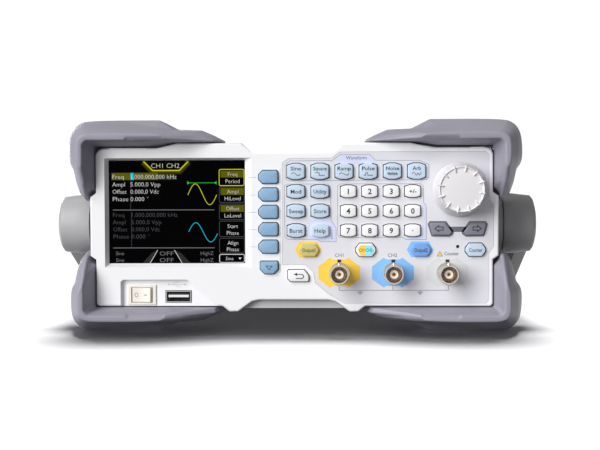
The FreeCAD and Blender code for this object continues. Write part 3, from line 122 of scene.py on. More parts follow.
MAT = {
    "white_plastic": material("white_plastic", srgb(245, 245, 247), 0.38, grain=0.05, mottling=0.006),
    "overlay": material("overlay", srgb(222, 222, 228), 0.36, grain=0.04, mottling=0.006),
    "lavender": material("lavender", srgb(213, 218, 244), 0.36, mottling=0.01),
    "print_yellow": material("print_yellow", srgb(248, 206, 74), 0.36, mottling=0.01),
    "print_blue": material("print_blue", srgb(132, 190, 248), 0.36, mottling=0.01),
    "print_grey": material("print_grey", srgb(212, 214, 216), 0.36, mottling=0.01),
    "print_line": material("print_line", srgb(150, 153, 170), 0.4, mottling=0.01),
    "print_text": material("print_text", srgb(98, 102, 122), 0.4, mottling=0.01),
    # black ink for the arrow outlines; also painted shade for the notches above the front connectors
    "black_print_and_notch_shade": material("black_print_and_notch_shade", srgb(22, 22, 24), 0.4, mottling=0.01),
    # painted shade: dark brownish colour of the plates behind the key holes, standing in for the shade in the gaps
    # round the keys
    "painted_key_gap_shade": material("painted_key_gap_shade", srgb(70, 62, 58), 0.7, spec=0.2, mottling=0.05),
    "legend": material("legend", srgb(44, 52, 76), 0.45, mottling=0.01),
    "legend_dark": material("legend_dark", srgb(20, 20, 24), 0.45, mottling=0.01),
    "legend_sand": material("legend_sand", srgb(120, 108, 92), 0.45, mottling=0.01),
    "pale_blue_key": material("pale_blue_key", srgb(200, 218, 236), 0.42, spec=0.4, grain=0.03, mottling=0.006),
    "white_key": material("white_key", srgb(244, 244, 246), 0.42, spec=0.4, grain=0.03, mottling=0.006),
    "blue_key": material("blue_key", srgb(140, 176, 208), 0.4, spec=0.4, grain=0.03, mottling=0.01),
    "grey_key": material("grey_key", srgb(132, 132, 146), 0.4, spec=0.4, grain=0.04, mottling=0.01),
    "yellow_key": material("yellow_key", srgb(208, 194, 120), 0.42, spec=0.4, grain=0.03, mottling=0.01),
    "sky_key": material("sky_key", srgb(118, 164, 226), 0.42, spec=0.4, grain=0.03, mottling=0.01),
    "select_yellow": material("select_yellow", srgb(250, 214, 60), 0.42, mottling=0.01),
    "select_cyan": material("select_cyan", srgb(140, 236, 250), 0.42, mottling=0.01),
    "arrow_base": material("arrow_base", srgb(104, 104, 116), 0.42, mottling=0.01),
    "white_knob": material("white_knob", srgb(230, 227, 230), 0.4, grain=0.03, mottling=0.004),
    "bumper": material("bumper", srgb(150, 147, 160), 0.46, spec=0.4, grain=0.22, grain_size=0.00035, mottling=0.03),
    "handle_plastic": material("handle_plastic", srgb(166, 165, 167), 0.44, spec=0.4, grain=0.16, grain_size=0.0003, mottling=0.03),
    "case_metal": material("case_metal", srgb(196, 196, 200), 0.52, spec=0.4, grain=0.25, grain_size=0.0005, mottling=0.02),
    "cream_plastic": material("cream_plastic", srgb(238, 233, 222), 0.36, grain=0.03, mottling=0.006),
    "port_metal": material("port_metal", srgb(176, 176, 178), 0.3, metal=1.0, mottling=0.02),
    # painted shade: near-black used inside hollows (coax contact bore, host port throat) where shade falls
    "painted_hollow_shade": material("painted_hollow_shade", srgb(24, 24, 26), 0.5, mottling=0.02),
    "port_white": material("port_white", srgb(236, 234, 232), 0.4, mottling=0.01),
    "nickel": material("nickel", srgb(206, 200, 190), 0.2, metal=1.0, mottling=0.02),
    "nickel_dark": material("nickel_dark", srgb(232, 212, 198), 0.5, metal=0.1, mottling=0.05),
    "insulator": material("insulator", srgb(242, 230, 218), 0.4, mottling=0.02),
    "gold": material("gold", srgb(226, 164, 70), 0.28, metal=1.0, mottling=0.02),
    "display": material("display", srgb(6, 6, 8), 0.25, mottling=0.01),
    "board": material("board", srgb(38, 92, 58), 0.5, mottling=0.08),
    "chip": material("chip", srgb(28, 28, 30), 0.5, mottling=0.05),
    "black_plastic": material("black_plastic", srgb(28, 28, 30), 0.45, grain=0.06, mottling=0.03),
    "lcd_white": glow("lcd_white", srgb(225, 225, 225)),
    "lcd_pale": glow("lcd_pale", srgb(205, 205, 190)),
    "lcd_grey": glow("lcd_grey", srgb(128, 128, 130)),
    "lcd_dim": glow("lcd_dim", srgb(80, 80, 82)),
    "lcd_yellow": glow("lcd_yellow", srgb(216, 214, 30)),
    "lcd_olive": glow("lcd_olive", srgb(92, 92, 14)),
    "lcd_olive_dim": glow("lcd_olive_dim", srgb(52, 52, 10)),
    "lcd_cyan": glow("lcd_cyan", srgb(28, 198, 214)),
    "lcd_teal": glow("lcd_teal", srgb(40, 130, 146)),
    "lcd_green": glow("lcd_green", srgb(40, 200, 40)),
    "lcd_glow": glow("lcd_glow", srgb(46, 48, 46)),
    "lcd_black": glow("lcd_black", srgb(3, 3, 4)),
}

glass = bpy.data.materials.new("window")
glass.use_nodes = True
_b = glass.node_tree.nodes["Principled BSDF"]
_b.inputs["Base Color"].default_value = (0.02, 0.02, 0.022, 1.0)
_b.inputs["Roughness"].default_value = 0.3
_b.inputs["Alpha"].default_value = 0.02
_b.inputs["Specular IOR Level"].default_value = 0.0
MAT["window"] = glass

SLOT_MAT = {
    "pale_blue_key": "pale_blue_key", "white_key": "white_key", "blue_key": "blue_key", "grey_key": "grey_key",
    "yellow_key": "yellow_key", "sky_key": "sky_key", "select_key": "white_key", "white_plastic": "white_plastic",
    "overlay_print": "overlay", "window": "window", "display": "display", "board": "board", "cream_plastic": "cream_plastic",
    "port_metal": "port_metal", "nickel": "nickel", "insulator": "insulator", "case_metal": "case_metal", "bumper": "bumper",
    "handle_plastic": "handle_plastic", "black_plastic": "black_plastic", "white_knob": "white_knob",
}


# ------------------------------------------------------------------ mesh helpers
def new_object(name, verts, faces, mats, face_mats=None, body="chassis", smooth=35.0, ride=True):
    """Object from millimetre coordinates in the row frame."""
    me = bpy.data.meshes.new(name)
    me.from_pydata([(x * MM, y * MM, z * MM) for x, y, z in verts], [], faces)
    for m in mats:
        me.materials.append(MAT[m])
    if face_mats:
        for p, k in zip(me.polygons, face_mats):
            p.material_index = k
    me.validate()
    me.update()
    ob = bpy.data.objects.new(name, me)
    scene.collection.objects.link(ob)
    if smooth is not None:
        shade(ob, smooth)
    if ride:
        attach(ob, body)
    return ob


def shade(ob, angle):
    """Smooth shading that stays sharp past the given angle, stored on the mesh."""
    me = ob.data
    for p in me.polygons:
        p.use_smooth = True
    bm = bmesh.new()
    bm.from_mesh(me)
    lim = math.radians(angle)
    for e in bm.edges:
        e.smooth = not (len(e.link_faces) != 2 or e.calc_face_angle(0.0) > lim)
    bm.to_mesh(me)
    bm.free()


class Build:
    """Collects faces in millimetres with a material per face."""

    def __init__(self):
        self.v, self.f, self.m, self.mats = [], [], [], []

    def mat(self, name):
        if name not in self.mats:
            self.mats.append(name)
        return self.mats.index(name)

    def add(self, verts, faces, mat):
        k, b = self.mat(mat), len(self.v)
        self.v += [tuple(p) for p in verts]
        for f in faces:
            self.f.append(tuple(i + b for i in f))
            self.m.append(k)

    def rings(self, rings, mat, close_first=False, close_last=True):
        """Skins a list of closed rings with equal point counts."""
        k = len(rings[0])
        verts = [p for r in rings for p in r]
        faces = []
        for i in range(len(rings) - 1):
            for j in range(k):
                a, b = i * k + j, i * k + (j + 1) % k
                faces.append((a, b, b + k, a + k))
        if close_first:
            faces.append(tuple(reversed(range(k))))
        if close_last:
            faces.append(tuple((len(rings) - 1) * k + j for j in range(k)))
        self.add(verts, faces, mat)

    def plate(self, pts, y, mat, normal=-1):
        """Flat polygon at depth y, facing the front for normal -1."""
        pts = list(pts)
        if area2(pts) * (-normal) < 0:
            pts.reverse()
        tris = poly_tris(pts)
        self.add([(x, y, z) for x, z in pts], tris, mat)

    def stroke(self, pts, width, y, mat, closed=False):
        pts = [Vector(p) for p in pts]
        k = len(pts)
        sides = ([], [])
        for i in range(k):
            a = pts[i - 1] if (i > 0 or closed) else None
            c = pts[(i + 1) % k] if (i < k - 1 or closed) else None
            d1 = (pts[i] - a).normalized() if a is not None else (c - pts[i]).normalized()
            d2 = (c - pts[i]).normalized() if c is not None else d1
            n1, n2 = Vector((-d1.y, d1.x)), Vector((-d2.y, d2.x))
            nm = n1 + n2
            nm = nm.normalized() if nm.length > 1e-6 else n1
            s = width / 2 / max(0.35, nm.dot(n1))
            sides[0].append(pts[i] + nm * s)
            sides[1].append(pts[i] - nm * s)
        verts = [(p.x, y, p.y) for p in sides[0]] + [(p.x, y, p.y) for p in sides[1]]
        faces = []
        for i in range(k if closed else k - 1):
            j = (i + 1) % k
            faces.append((i, i + k, j + k, j))
        self.add(verts, faces, mat)

    def text(self, string, x, z, size, y, mat, width=None, angle=0.0, align="CENTER", bold=0.0, lean=0.0):
        """Lettering with its middle (or left end) at x, z.  size is the capital height."""
        cu = bpy.data.curves.new("t", "FONT")
        cu.body = string
        cu.size = size / 0.70
        cu.resolution_u = 2
        cu.offset = (bold - 0.012) * cu.size
        cu.shear = lean
        ob = bpy.data.objects.new("t", cu)
        scene.collection.objects.link(ob)
        bpy.context.view_layer.update()
        me = bpy.data.meshes.new_from_object(ob.evaluated_get(bpy.context.evaluated_depsgraph_get()))
        co = [v.co.copy() for v in me.vertices]
        if co:
            x0, x1 = min(c.x for c in co), max(c.x for c in co)
            sx = (width / (x1 - x0)) if width else 1.0
            ca, sa = math.cos(angle), math.sin(angle)
            out = []
            for c in co:
                px = (c.x - ((x0 + x1) / 2 if align == "CENTER" else x0)) * sx
                pz = c.y - size / 2
                out.append((x + px * ca - pz * sa, y, z + px * sa + pz * ca))
            self.add(out, [tuple(p.vertices) for p in me.polygons], mat)
        bpy.data.objects.remove(ob)
        bpy.data.curves.remove(cu)
        bpy.data.meshes.remove(me)

    def done(self, name, body="chassis", smooth=35.0):
        return new_object(name, self.v, self.f, self.mats, self.m, body, smooth)


def area2(pts):
    return sum(pts[i][0] * pts[(i + 1) % len(pts)][1] - pts[(i + 1) % len(pts)][0] * pts[i][1] for i in range(len(pts)))


def poly_tris(pts):
    from mathutils.geometry import tessellate_polygon
    tris = tessellate_polygon([[Vector((x, z, 0)) for x, z in pts]])
    out = []
    ccw = area2(pts) > 0
    for a, b, c in tris:
        t = area2([pts[a], pts[b], pts[c]]) > 0
        out.append((a, b, c) if t == ccw else (a, c, b))
    return out


def ccw(pts):
    return list(pts) if area2(pts) > 0 else list(reversed(pts))


def rounded(pts, r, seg=4):
    """Polygon with its corners rounded; r may be one radius or one per corner."""
    pts = list(pts)
    k = len(pts)
    out = []
    for i in range(k):
        rr = r[i] if isinstance(r, (list, tuple)) else r
        p, a, c = Vector(pts[i]), Vector(pts[i - 1]), Vector(pts[(i + 1) % k])
        u, w = (a - p), (c - p)
        lu, lw = u.length, w.length
        u.normalize()
        w.normalize()
        half = math.acos(max(-1.0, min(1.0, u.dot(w)))) / 2
        if rr <= 1e-6 or abs(half - math.pi / 2) < 1e-3:
            out.append((p.x, p.y))
            continue
        t = min(rr / math.tan(half), 0.48 * lu, 0.48 * lw)
        s, e = p + u * t, p + w * t
        for j in range(seg + 1):
            q = j / seg
            b = s * (1 - q) ** 2 + p * 2 * q * (1 - q) + e * q ** 2
            out.append((b.x, b.y))
    return out


def inset(pts, d):
    """Moves every point of a convex counter-clockwise outline inwards by about d."""
    k = len(pts)
    out = []
    for i in range(k):
        a, p, c = Vector(pts[i - 1]), Vector(pts[i]), Vector(pts[(i + 1) % k])
        e1, e2 = (p - a), (c - p)
        e1 = e1.normalized() if e1.length > 1e-9 else e2.normalized()
        e2 = e2.normalized() if e2.length > 1e-9 else e1
        n1, n2 = Vector((-e1.y, e1.x)), Vector((-e2.y, e2.x))
        nm = n1 + n2
        nm = nm.normalized() if nm.length > 1e-6 else n1
        q = p + nm * (d / max(0.5, nm.dot(n1)))
        out.append((q.x, q.y))
    return out


def cap(build, pts, y_front, y_back, edge, mat, corner=0.6, crown=0.2, seg=4):
    """Moulded key cap: upright sides, a rolled front edge and a slightly crowned face."""
    o = ccw(pts)
    rings = [[(x, y_back, z) for x, z in rounded(o, corner, seg)]]
    for i in range(6):
        a = i / 5 * math.pi / 2
        d, dy = edge * (1 - math.cos(a)), edge * math.sin(a)
        r = rounded(inset(o, d) if d > 1e-6 else o, corner, seg)
        rings.append([(x, y_front + crown + edge - dy, z) for x, z in r])
    base = rings[-1]
    mx = sum(p[0] for p in base) / len(base)
    mz = sum(p[2] for p in base) / len(base)
    for k in (0.86, 0.66, 0.4, 0.12):
        rings.append([(mx + (x - mx) * k, y_front + crown * k * k, mz + (z - mz) * k) for x, _, z in base])
    # the outline runs the other way round so that every face looks outwards
    build.rings([list(reversed(r)) for r in rings], mat)


def lathe(build, axis_point, axis, profile, mat, seg=96, wobble=None):
    """Turns (position along axis, radius) about the axis direction +-Y or +-X."""
    ax, ay, az = axis_point
    rings = []
    for t, r in profile:
        ring = []
        for j in range(seg):
            a = 2 * math.pi * j / seg
            rr = r if wobble is None else wobble(t, r, a)
            if axis == "y":
                ring.append((ax + rr * math.cos(a), t, az + rr * math.sin(a)))
            else:
                ring.append((t, ay + rr * math.cos(a), az + rr * math.sin(a)))
        rings.append(ring)
    return build_rings_fixed(build, rings, mat)


def build_rings_fixed(build, rings, mat):
    k = len(rings[0])
    verts, faces = [p for r in rings for p in r], []
    for i in range(len(rings) - 1):
        for j in range(k):
            a, b = i * k + j, i * k + (j + 1) % k
            faces.append((a, b, b + k, a + k))
    build.add(verts, faces, mat)


def recalc(ob):
    bm = bmesh.new()
    bm.from_mesh(ob.data)
    bmesh.ops.remove_doubles(bm, verts=bm.verts, dist=1e-7)
    bmesh.ops.recalc_face_normals(bm, faces=bm.faces)
    bm.to_mesh(ob.data)
    bm.free()


# ------------------------------------------------------------------ CAD nodes that are shown as they are
def dress(node, mat, bevel=0.0, segments=2, angle=30.0):
    ob = NODES[node]
    ob.data.materials.clear()
    ob.data.materials.append(MAT[mat])
    if bevel:
        w = ob.modifiers.new("weld", "WELD")
        w.merge_threshold = 1e-6
        b = ob.modifiers.new("bevel", "BEVEL")
        b.width = bevel * MM
        b.segments = segments
        b.limit_method = "ANGLE"
        b.angle_limit = math.radians(angle)
        b.harden_normals = True
    return ob


for node in NODES:
    dress(node, SLOT_MAT[SLOT_OF[node]])
dress("front_bezel", "white_plastic", 0.18, 2, 40.0)
dress("handle_frame", "handle_plastic", 0.7, 3, 28.0)
dress("handle_pivots", "handle_plastic", 0.4, 2)
dress("rear_panel", "case_metal", 0.1, 1)
dress("mains_inlet", "black_plastic", 0.3, 2)
dress("power_switch_frame", "cream_plastic", 0.15, 2)
dress("fan_frame", "black_plastic", 0.3, 2)
dress("case_screws", "nickel", 0.1, 1)

# ------------------------------------------------------------------ keys
FRONT = -147.0
ROOT = -141.9
DECAL = 0.03


def centre(node):
    lo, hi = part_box(node)
    return (lo.x + hi.x) / 2 / MM, (lo.z + hi.z) / 2 / MM


def size(node):
    lo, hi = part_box(node)
    return (hi.x - lo.x) / MM, (hi.z - lo.z) / MM




def peaked(cx, cz, hw, hc, hp, flat):
    return [(cx - hw, cz - hc), (cx - flat, cz - hp), (cx + flat, cz - hp), (cx + hw, cz - hc),
            (cx + hw, cz + hc), (cx + flat, cz + hp), (cx - flat, cz + hp), (cx - hw, cz + hc)]


WIDTHS = {"Sine": 5.3, "Square": 6.8, "Ramp": 6.8, "Pulse": 6.4, "Noise": 6.6, "Arb": 4.2, "Mod": 5.3, "Sweep": 7.2, "Burst": 6.5,
          "Utility": 6.6, "Store": 6.3, "Help": 5.7}


def wave_points(kind):
    """Small waveform drawings, as polylines about the origin."""
    if kind == "sine":
        return [[(-2.3 + 4.6 * i / 24, 0.75 * math.sin(2 * math.pi * i / 24)) for i in range(25)]]
    if kind == "square":
        return [[(-2.5, 0.7), (-0.4, 0.7), (-0.4, -0.7), (0.4, -0.7), (2.4, -0.7)]]
    if kind == "ramp":
        return [[(-2.5, -0.1), (-1.6, 0.7), (1.6, -0.7), (2.5, 0.2)]]
    if kind == "pulse":
        return [[(-2.3, -0.7), (-1.5, -0.7), (-1.2, 0.7), (-0.5, 0.7), (-0.2, -0.7), (2.3, -0.7)]]
    if kind == "noise":
        zs = [0.0, 0.6, -0.5, 0.7, -0.7, 0.5, -0.4, 0.8, -0.6, 0.6, -0.7, 0.4, -0.3, 0.6, -0.5, 0.1]
        return [[(-2.6 + 5.2 * i / 15, z) for i, z in enumerate(zs)]]
    return [[(-2.5, -0.2), (-1.9, 0.7), (-1.2, 0.6), (-0.5, -0.6), (0.0, -0.75), (0.5, 0.4), (0.9, 0.1), (1.4, -0.7), (2.4, 0.8)]]


def key_piece(node, pts, mat, edge=0.55, corner=0.7, crown=0.25, extra=None):
    b = Build()
    pts = inset(ccw(pts), 0.16)
    cap(b, pts, FRONT, ROOT, edge, mat, corner, crown)
    if extra:
        extra(b)
    ob = b.done(node + "_cap", node, 50.0)
    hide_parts(node)
    # painted shade: a dark plate behind each key hole makes the gap round the cap read as shaded
    PAINTED_GAP_SHADE.plate(rounded(inset(ccw(pts), -0.42), 0.6), -144.2, "painted_key_gap_shade")
    return ob


# dark plates behind the key holes, painted shade for the gaps round the keys
PAINTED_GAP_SHADE = Build()
for label, word in (("sine", "Sine"), ("square", "Square"), ("ramp", "Ramp"), ("pulse", "Pulse"), ("noise", "Noise"), ("arb", "Arb")):
    node = "key_" + label
    cx, cz = centre(node)

    def mark(b, cx=cx, cz=cz, word=word, label=label):
        b.text(word, cx, cz + 1.5, 1.95, FRONT - DECAL, "legend", width=WIDTHS[word], bold=0.02)
        for line in wave_points(label):
            b.stroke([(cx + x, cz - 1.35 + z) for x, z in line], 0.27, FRONT - DECAL, "legend")
    key_piece(node, peaked(cx, cz, 4.63, 3.08, 4.2, 1.6), "pale_blue_key", extra=mark)

for label, word in (("mod", "Mod"), ("sweep", "Sweep"), ("burst", "Burst"), ("utility", "Utility"), ("store", "Store"), ("help", "Help")):
    node = "key_" + label
    cx, cz = centre(node)

    def mark(b, cx=cx, cz=cz, word=word):
        b.text(word, cx, cz, 2.05, FRONT - DECAL, "legend", width=WIDTHS[word], bold=0.02)
    key_piece(node, peaked(cx, cz, 4.63, 2.55, 3.55, 1.6), "pale_blue_key", extra=mark)

for label, word in [("num_%d" % i, str(i)) for i in range(10)] + [("sign", "+/-"), ("point", ".")]:
    node = "key_" + label
    cx, cz = centre(node)

    def mark(b, cx=cx, cz=cz, word=word):
        if word == ".":
            b.plate([(cx + 0.33 * math.cos(a * math.pi / 6), cz + 0.33 * math.sin(a * math.pi / 6)) for a in range(12)], FRONT - DECAL, "legend_dark")
        else:
            b.text(word, cx, cz, 2.7 if len(word) == 1 else 1.9, FRONT - DECAL, "legend_dark", bold=0.035, width=None if len(word) == 1 else 3.7)
    key_piece(node, peaked(cx, cz, 4.05, 2.45, 3.25, 1.6), "white_key", corner=0.8, extra=mark)

for node, word, mat, ink in (("key_output_1", "Output1", "yellow_key", "legend"), ("key_output_2", "Output2", "sky_key", "legend"),
                             ("key_counter", "Counter", "pale_blue_key", "legend"), ("key_channel_select", "", "white_key", "legend")):
    cx, cz = centre(node)

    def mark(b, cx=cx, cz=cz, word=word, ink=ink):
        if word:
            b.text(word, cx, cz, 1.95, FRONT - DECAL, ink, width=6.6, bold=0.02)
        else:
            b.plate([(cx - 4.0, cz), (cx - 2.9, cz - 2.4), (cx, cz - 2.4), (cx, cz + 2.4), (cx - 2.9, cz + 2.4)], FRONT - DECAL, "select_yellow")
            b.plate([(cx + 4.0, cz), (cx + 2.9, cz - 2.4), (cx, cz - 2.4), (cx, cz + 2.4), (cx + 2.9, cz + 2.4)], FRONT - DECAL, "select_cyan")
            b.text("CH1", cx - 1.75, cz, 1.7, FRONT - 2 * DECAL, "legend", width=3.1, bold=0.015)
            b.text("CH2", cx + 1.75, cz, 1.7, FRONT - 2 * DECAL, "legend", width=3.1, bold=0.015)
    key_piece(node, peaked(cx, cz, 5.15, 0.9, 3.45, 3.3), mat, corner=0.7, extra=mark)

for i in range(5):
    node = "soft_key_%d" % (i + 1)
    cx, cz = centre(node)
    l, r, h = cx - 5.05, cx + 5.05, 3.45
    key_piece(node, [(l + 2.2, cz - h), (r - 0.8, cz - h), (r, cz - h + 0.8), (r, cz + h - 0.8), (r - 0.8, cz + h), (l + 2.2, cz + h), (l, cz + 1.3), (l, cz - 1.3)],
              "blue_key", edge=0.7, corner=0.8, crown=0.3)

cx, cz = centre("key_page")
w, h = 4.7, 3.35


def page_mark(b, cx=cx, cz=cz):
    b.stroke([(cx - 1.5, cz + 0.9), (cx + 1.5, cz + 0.9), (cx, cz - 0.9)], 0.3, FRONT - DECAL, "legend_dark", closed=True)


key_piece("key_page", [(cx - w + 2.4, cz - h), (cx + w - 2.4, cz - h), (cx + w, cz - h + 2.4), (cx + w, cz + h - 0.6), (cx + w - 0.6, cz + h),
                       (cx - w + 0.6, cz + h), (cx - w, cz + h - 0.6), (cx - w, cz - h + 2.4)], "blue_key", edge=0.7, corner=0.6, crown=0.3, extra=page_mark)
cx, cz = centre("key_back")
w, h = 5.5, 3.15


def back_mark(b, cx=cx, cz=cz):
    b.stroke([(cx - 1.2, cz - 1.3), (cx + 2.0, cz - 1.3), (cx + 2.7, cz - 0.6), (cx + 2.7, cz + 0.1), (cx + 2.0, cz + 0.8), (cx - 0.8, cz + 0.8)], 0.38, FRONT - DECAL, "legend_dark")
    b.plate([(cx - 2.4, cz + 0.8), (cx - 0.6, cz + 0.0), (cx - 0.6, cz + 1.6)], FRONT - DECAL, "legend_dark")


key_piece("key_back", [(cx - w + 1.6, cz - h), (cx + w - 0.6, cz - h), (cx + w, cz - h + 0.6), (cx + w, cz + h - 2.9), (cx + w - 2.4, cz + h),
                       (cx - w + 0.6, cz + h), (cx - w, cz + h - 0.6), (cx - w, cz - h + 1.6)], "white_key", edge=0.6, corner=0.6, crown=0.25, extra=back_mark)
ARROW_MID, ARROW_Z = 84.3, 54.65
for node, s in (("key_left", -1), ("key_right", 1)):
    pts = [(ARROW_MID + s * x, ARROW_Z + z) for x, z in ((13.1, -3.1), (4.3, -3.2), (3.0, -2.1), (3.1, -1.0), (6.5, 3.3), (13.9, 3.3), (14.6, 2.4))]

    def mark(b, s=s):
        ox, oz = ARROW_MID + s * 9.4, ARROW_Z + 0.3
        arrow = [(2.4, 0.0), (0.5, 1.5), (0.5, 0.8), (-1.8, 0.8), (-1.8, -0.8), (0.5, -0.8), (0.5, -1.5)]
        b.stroke([(ox + s * x, oz + z) for x, z in arrow], 0.42, FRONT - DECAL, "black_print_and_notch_shade", closed=True)
    key_piece(node, pts, "grey_key", edge=0.6, corner=0.7, crown=0.2, extra=mark)

# painted shade plates in the key gaps
PAINTED_GAP_SHADE.done("painted_key_gap_shade_plates", "chassis", None)

# ------------------------------------------------------------------ knob
lo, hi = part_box("tuning_knob")
KX, KZ = (lo.x + hi.x) / 2 / MM, (lo.z + hi.z) / 2 / MM


b = Build()
profile = [(-137.4, 0.001), (-137.4, 3.0), (-145.5, 3.0), (-145.5, 13.7), (-145.7, 13.9), (-147.0, 13.9), (-147.3, 13.75), (-148.1, 13.25), (-149.01, 13.12),
           (-151, 12.85), (-153, 12.6), (-155, 12.3), (-156.4, 12.1), (-157.3, 11.9), (-158.1, 11.65), (-158.6, 11.45), (-158.8, 11.25), (-158.82, 11.1), (-158.7, 10.98),
           (-158.3, 10.9), (-158.18, 10.75), (-158.16, 10.2), (-158.18, 9.6), (-158.2, 9.1), (-158.24, 8.6), (-158.35, 7.0), (-158.5, 4.0), (-158.55, 0.001)]


def knob_point(t, r, a):
    """Twelve small ridges across the rim of the face."""
    if r < 8.8 or t > -154.0:
        return t, r
    k = ((math.degrees(a) - 19.5) / 30.0) % 1.0
    d = min(k, 1.0 - k) * math.radians(30.0) * r
    w = max(0.0, 1.0 - (d / 0.5) ** 2)
    along = min(1.0, (r - 8.8) / 0.8)
    fade = max(0.0, min(1.0, (-154.0 - t) / 2.5))
    level = -159.18 if r < 11.3 else t - 0.4
    return t + (level - t) * w * along * fade, r + (0.4 * w * fade if r > 11.2 else 0.0)


rings = []
for t, r in profile:
    ring = []
    for q in range(720):
        a = 2 * math.pi * q / 720
        tt, rr = knob_point(t, r, a)
        ring.append((KX + rr * math.cos(a), tt, KZ + rr * math.sin(a)))
    rings.append(ring)
build_rings_fixed(b, rings, "white_knob")
ob = b.done("tuning_knob_turned", "tuning_knob", None)
recalc(ob)
shade(ob, 32.0)
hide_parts("tuning_knob")

# ------------------------------------------------------------------ coaxial connectors


def coax(name, x, z, y, out, front):
    s = Build()
    prof = [(y + out * 0.05, 4.75), (y + out * 0.05, 5.2), (y + out * 0.25, 5.4), (y + out * 1.0, 5.4), (y + out * 1.2, 5.25), (y + out * 1.2, 4.85),
            (y + out * 2.2, 4.8), (y + out * 7.0, 4.8), (y + out * 7.2, 4.7), (y + out * 12.9, 4.7), (y + out * 13.7, 4.75), (y + out * 14.0, 4.6), (y + out * 14.0, 4.25),
            (y + out * 13.7, 4.08), (y + out * 6.4, 4.05)]
    lathe(s, (x, 0, z), "y", prof, "nickel", 72)
    lathe(s, (x, 0, z), "y", [(y + out * 6.4, 4.05), (y + out * 4.6, 4.0), (y + out * 4.6, 2.6), (y + out * 11.2, 2.6)], "nickel_dark", 72)
    lathe(s, (x, 0, z), "y", [(y + out * 0.05, 4.75), (y - out * 14.0, 4.7), (y - out * 14.0, 2.6)], "nickel", 72)
    for up in (1, -1):
        rings = []
        for t, r in ((4.6, 0.95), (5.3, 0.95), (5.55, 0.8), (5.6, 0.5), (5.6, 0.001)):
            rings.append([(x + r * math.cos(2 * math.pi * j / 20), y + out * 9.6 + r * math.sin(2 * math.pi * j / 20), z + up * t) for j in range(20)])
        build_rings_fixed(s, rings, "nickel")
    ob = s.done(name + "_shell", "chassis", None)
    recalc(ob)
    shade(ob, 32.0)
    c = Build()
    lathe(c, (x, 0, z), "y", [(y + out * 4.7, 2.3), (y + out * 10.6, 2.3), (y + out * 10.9, 2.1), (y + out * 11.0, 1.6), (y + out * 11.0, 1.15), (y + out * 10.8, 1.0), (y + out * 6.2, 0.95)], "insulator", 48)
    lathe(c, (x, 0, z), "y", [(y + out * 6.2, 0.95), (y + out * 6.0, 0.8), (y + out * 9.3, 0.8), (y + out * 9.6, 0.74), (y + out * 9.6, 0.54)], "gold", 32)
    # painted shade: the bore of the centre contact is coloured near-black
    lathe(c, (x, 0, z), "y", [(y + out * 9.6, 0.54), (y + out * 8.8, 0.52), (y + out * 8.8, 0.001)], "painted_hollow_shade", 32)
    ob2 = c.done(name + "_core", "chassis", None)
    recalc(ob2)
    shade(ob2, 32.0)
    return ob, ob2


lo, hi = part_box("bnc_shells")
Y_FRONT, Y_REAR = -145.0, 144.7
shells, inserts = [], []
for i in range(3):
    a, c = coax("front_coax_%d" % (i + 1), 23.6 + 27.65 * i, 32.1, Y_FRONT, -1, True)
    shells.append(a)
    inserts.append(c)
    a, c = coax("rear_coax_%d" % (i + 1), -22.0 + 22.0 * i, 74.0, Y_REAR, 1, False)
    shells.append(a)
    inserts.append(c)
for o in shells:
    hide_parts("bnc_shells")
for o in inserts:
    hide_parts("bnc_inserts")

# ------------------------------------------------------------------ printing on the overlay and bezel
P = Build()
yo = -144.95 - DECAL
yo2 = yo - DECAL
LW = 0.24
P.plate([(22.14, 89.42), (24.35, 93.01), (39.24, 93.01), (42.69, 89.42), (40.12, 88.39), (24.71, 88.39)], yo, "lavender")
P.stroke([(-4.16, 87.72), (-1.65, 89.83), (20.08, 90.03), (24.35, 93.01), (39.24, 93.01), (42.22, 90.03), (64.83, 89.83), (69.65, 87.72), (69.65, 81.30), (68.22, 80.02), (-2.06, 79.61), (-4.16, 80.89)], LW, yo2, "print_line", True)
P.text("Waveform", *(32.41, 91.37), 1.8, yo2, "print_text", width=10.6, bold=0.015)
P.plate([(7.75, 58.34), (10.32, 59.78), (19.47, 59.78), (21.98, 55.36), (21.98, 48.27), (14.12, 48.27), (12.43, 49.30), (7.75, 49.40)], yo, "lavender")
P.stroke([(-4.63, 76.83), (-3.29, 77.91), (17.77, 77.91), (19.06, 76.83), (19.42, 59.16), (21.98, 55.36), (21.98, 48.27), (14.12, 48.27), (12.43, 49.30), (-2.93, 49.55), (-4.42, 50.84)], LW, yo2, "print_line", True)
P.text("Local", *(20.03, 51.87), 1.5, yo2, "print_text", angle=-math.pi / 2)
P.plate([(66.42, 67.84), (68.06, 66.40), (68.06, 49.40), (58.35, 49.40), (56.81, 50.32), (66.42, 50.43)], yo, "lavender")
P.stroke([(22.81, 76.83), (24.19, 77.91), (65.29, 77.91), (66.62, 76.83), (66.93, 68.10), (68.22, 66.40), (68.22, 49.30), (57.99, 49.30), (56.30, 50.43), (23.94, 50.43), (22.81, 51.71)], LW, yo2, "print_line", True)
P.plate([(0.82, 44.06), (3.13, 48.17), (12.12, 48.17), (14.43, 44.06), (12.12, 40.10), (3.13, 40.10)], yo, "print_yellow")
P.plate([(58.25, 44.06), (60.56, 48.27), (69.55, 48.27), (71.86, 44.06), (69.55, 40.20), (60.56, 40.20)], yo, "print_blue")


# painted shade: a small black patch on the overlay above each front connector stands in for the shadowed notch in the
# panel hole
for x0 in (339.9, 393.9, 447.9):
    cxm = (x0 - 294.1) * 0.5137 + 0.1
    P.plate([(cxm - 1.0, 37.6), (cxm + 1.0, 37.6), (cxm + 1.0, 39.0), (cxm - 1.0, 39.0)], yo2 - 0.03, "black_print_and_notch_shade")


def octagon(pts, mat):
    P.plate(pts, yo, mat)


